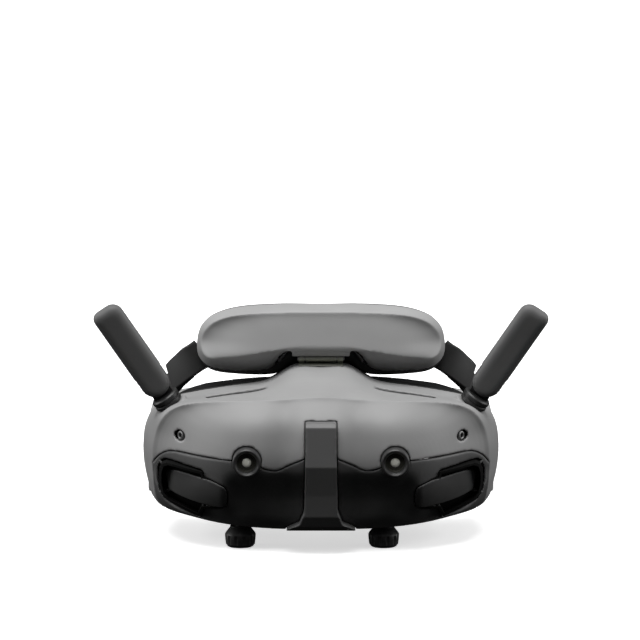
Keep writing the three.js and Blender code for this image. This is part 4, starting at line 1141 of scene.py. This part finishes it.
def whole_line(half, forward):
    """A half line and its mirror image, with the ends at the mouth moved forward."""
    moved = [(x, y - forward if y < REAR_MOUTH + 1 else y) for x, y in half]
    fine = curve_through(moved, 5, closed=False)
    return [(-x, y) for x, y in reversed(fine[1:])] + fine


def between(name, outer, inner, z0, z1, forward=0.0):
    """A piece that fills the room between two of the rear unit's lines."""
    inside = whole_line(inner, forward)
    return prism(name, whole_line(outer, forward) + list(reversed(inside)), "Z", z0, z1)


def make_rear_unit():
    cover_line = shifted(REAR_INNER, 2)
    shell = between("rear_housing", REAR_OUTER, shifted(cover_line, GAP), 0, REAR_TOP)
    room = between("room", shifted(REAR_OUTER, -2), REAR_INNER, 2, REAR_TOP - 2, 5)
    cut(shell, room, rod("shaft", (0, 270, ADJUST_Z), (0, 310, ADJUST_Z), 4.4))
    for _, _, x, y, r in BUTTONS:
        cut(shell, rod("hole", (x, y, REAR_TOP - 6), (x, y, REAR_TOP + 2), r + GAP))
    ends = arc(1.6, 90, 270, 10, -2.9) + arc(1.6, -90, 90, 10, 2.9)
    port = [(x - 52, z + 17) for x, z in ends]
    cut(shell, prism("port", port, "Y", 278, 292))
    soften(shell, 0.7, 4)
    piece(shell, "rear_unit", "rear", "rear_shell")

    cover = between("rear_lining", cover_line, REAR_INNER, 0.4, REAR_TOP - 0.4)
    soften(cover, 0.6, 2)
    piece(cover, "rear_unit", "cover", "rear_cover")

    pad = between("rear_pad", shifted(REAR_INNER, -1.2), shifted(REAR_INNER, -7.6), 5, REAR_TOP - 5)
    boolean(pad, block("reach", -62, 62, 225, 295, -5, 60), "INTERSECT")
    puff(pad, 2.5, 2.0)
    piece(pad, "rear_unit", "knit", "rear_cushion")


def make_buttons():
    for node, body, x, y, r in BUTTONS:
        cap = lathe(f"{node}_cap", [
            (0, 0), (r + 0.9, 0), (r + 0.9, 1.2), (r, 1.2), (r, 4.2), (r - 0.2, 4.6), (r - 0.6, 4.8),
            (r * 0.6, 4.7), (0, 4.45),
        ], (x, y, REAR_TOP - 3.8), (0, 0, 1))
        piece(smooth_faces(cap, 40), body, "cover", node)


def make_charge_lights():
    for i in range(4):
        x = 8 + i * 6
        led = lathe(f"charge_light_{i + 1}", [(0, -0.6), (0.9, -0.6), (0.9, 0.02), (0.7, 0.12), (0, 0.15)],
                    (x, 283.5 - (x / 30) ** 2 * 2, REAR_TOP), (0, 0, 1), 24)
        piece(smooth_faces(led, 40), "rear_unit", "led", None)


def make_fit_knob():
    r, depth = ADJUST_R, ADJUST_DEPTH
    knob = lathe("fit", [
        (0, 0), (r - 1.2, 0), (r - 0.3, 0.5), (r, 1.4), (r, depth - 1.4), (r - 0.4, depth - 0.4),
        (r - 1.2, depth), (r - 2.6, depth), (r - 3.2, depth - 0.4), (r - 4, depth - 1.1), (0, depth - 1.4),
    ], (0, ADJUST_Y, ADJUST_Z), segments=128)
    flutes, reach = 24, r + 0.5
    for i in range(flutes):
        a = 2 * math.pi * i / flutes
        x, z = reach * math.cos(a), ADJUST_Z + reach * math.sin(a)
        cut(knob, rod("grip", (x, ADJUST_Y + 1, z), (x, ADJUST_Y + depth + 1, z), 1.0, segments=16))
    join(knob, rod("shaft", (0, 284, ADJUST_Z), (0, ADJUST_Y + 1, ADJUST_Z), 4))
    knob.name = "fit_wheel"
    piece(smooth_faces(knob, 30), "fit_knob", "knob", "adjust_knob")


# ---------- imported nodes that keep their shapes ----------
def dress_nodes():
    """Materials by node, where {} stands for left and right."""
    looks = {
        "steel": ("hinge_base", "hinge_leaf"),
        "pin": ("hinge_pin", "slide_rod_upper", "slide_rod_lower"),
        "board": ("main_board", "battery_board"),
        "aluminium": ("heat_sink",),
        "black": ("fan_frame", "fan_rotor", "rear_frame", "camera_module_{}", "eyepiece_barrel_{}",
                  "lens_cell_{}"),
        "duct": ("intake_duct_{}",),
        "display": ("display_{}",),
        "cell": ("battery_cell_{}",),
    }
    for look, nodes in looks.items():
        for node in nodes:
            for side, _ in SIDES:
                dress(bpy.data.objects[node.format(side)], look)


# ---------- floor, light and camera ----------
def aim_along(obj, direction):
    obj.rotation_mode = "QUATERNION"
    obj.rotation_quaternion = Vector(direction).to_track_quat("-Z", "Y")


def light(name, kind, place, direction, energy, **values):
    data = bpy.data.lights.new(name, kind)
    data.energy = energy
    for key, value in values.items():
        setattr(data, key, value)
    obj = add(name, data)
    obj.location = place
    aim_along(obj, direction)


def make_studio():
    """A pale floor, a broad light above and a soft box at each side, and next to none from below."""
    scene = bpy.context.scene
    scene.view_settings.view_transform = "Standard"
    reach = 20000  # the floor ends far outside the picture
    floor = make("floor", [(-reach, -reach, 0), (reach, -reach, 0), (reach, reach, 0), (-reach, reach, 0)],
                 [(0, 1, 2, 3)])
    n = Nodes("floor_pale")
    floor.data.materials.append(n.set(color=n.colours(n.noise(400), grey(0.93), grey(0.95)), roughness=0.9))
    n.shader.inputs["Emission Color"].default_value = (1, 1, 1, 1)
    n.shader.inputs["Emission Strength"].default_value = 0.6
    floor.visible_diffuse = False
    floor.visible_glossy = False

    world = bpy.data.worlds.new("studio")
    world.use_nodes = True
    scene.world = world
    tree = world.node_tree
    coords = tree.nodes.new("ShaderNodeTexCoord")
    split = tree.nodes.new("ShaderNodeSeparateXYZ")
    ramp = tree.nodes.new("ShaderNodeMapRange")
    for key, value in (("From Min", -0.1), ("From Max", 0.7), ("To Min", 0.01), ("To Max", 0.3)):
        ramp.inputs[key].default_value = value
    tree.links.new(coords.outputs["Generated"], split.inputs["Vector"])
    tree.links.new(split.outputs["Z"], ramp.inputs["Value"])
    tree.links.new(ramp.outputs["Result"], tree.nodes["Background"].inputs["Strength"])
    tree.nodes["Background"].inputs["Color"].default_value = (1, 1, 1, 1)
    light("above", "SUN", (0, 0, 0), (0.1, 0.24, -1), 3.4, angle=math.radians(50))
    for side in (-1, 1):
        place, aim = Vector((side * 1.3, 0.05, 0.45)), Vector((0, -0.1, 0.05))
        light(f"side_{side}", "AREA", place, aim - place, 9, shape="RECTANGLE", size=0.9, size_y=0.9)


def make_camera_view():
    """The product view: level with the front, a little above it, through a long lens."""
    data = bpy.data.cameras.new("camera")
    obj = add("camera", data)
    elevation = math.radians(8)
    distance = 2.0
    width = 0.2837  # what the frame spans at the aim
    data.sensor_width = 36
    data.lens = 36 * distance / width
    data.clip_start, data.clip_end = 0.05, 20
    aim = Vector((-0.44, 30 - ORIGIN_Y, 102.3)) * MM
    back = Vector((0, -math.cos(elevation), math.sin(elevation)))
    obj.location = aim + back * distance
    aim_along(obj, -back)
    bpy.context.scene.camera = obj


make_studio()
make_camera_view()
make_housing()
make_bar()
for name, side in SIDES:
    make_intake(name, side)
    make_camera(name, side)
    make_screw(name, side)
    make_vent(name, side)
    make_antenna(name, side)
    make_knob(name)
    make_eyepiece(name)
    make_bands(name, side)
make_face_foam()
make_forehead()
make_rear_unit()
make_fit_knob()
make_buttons()
make_charge_lights()
dress_nodes()
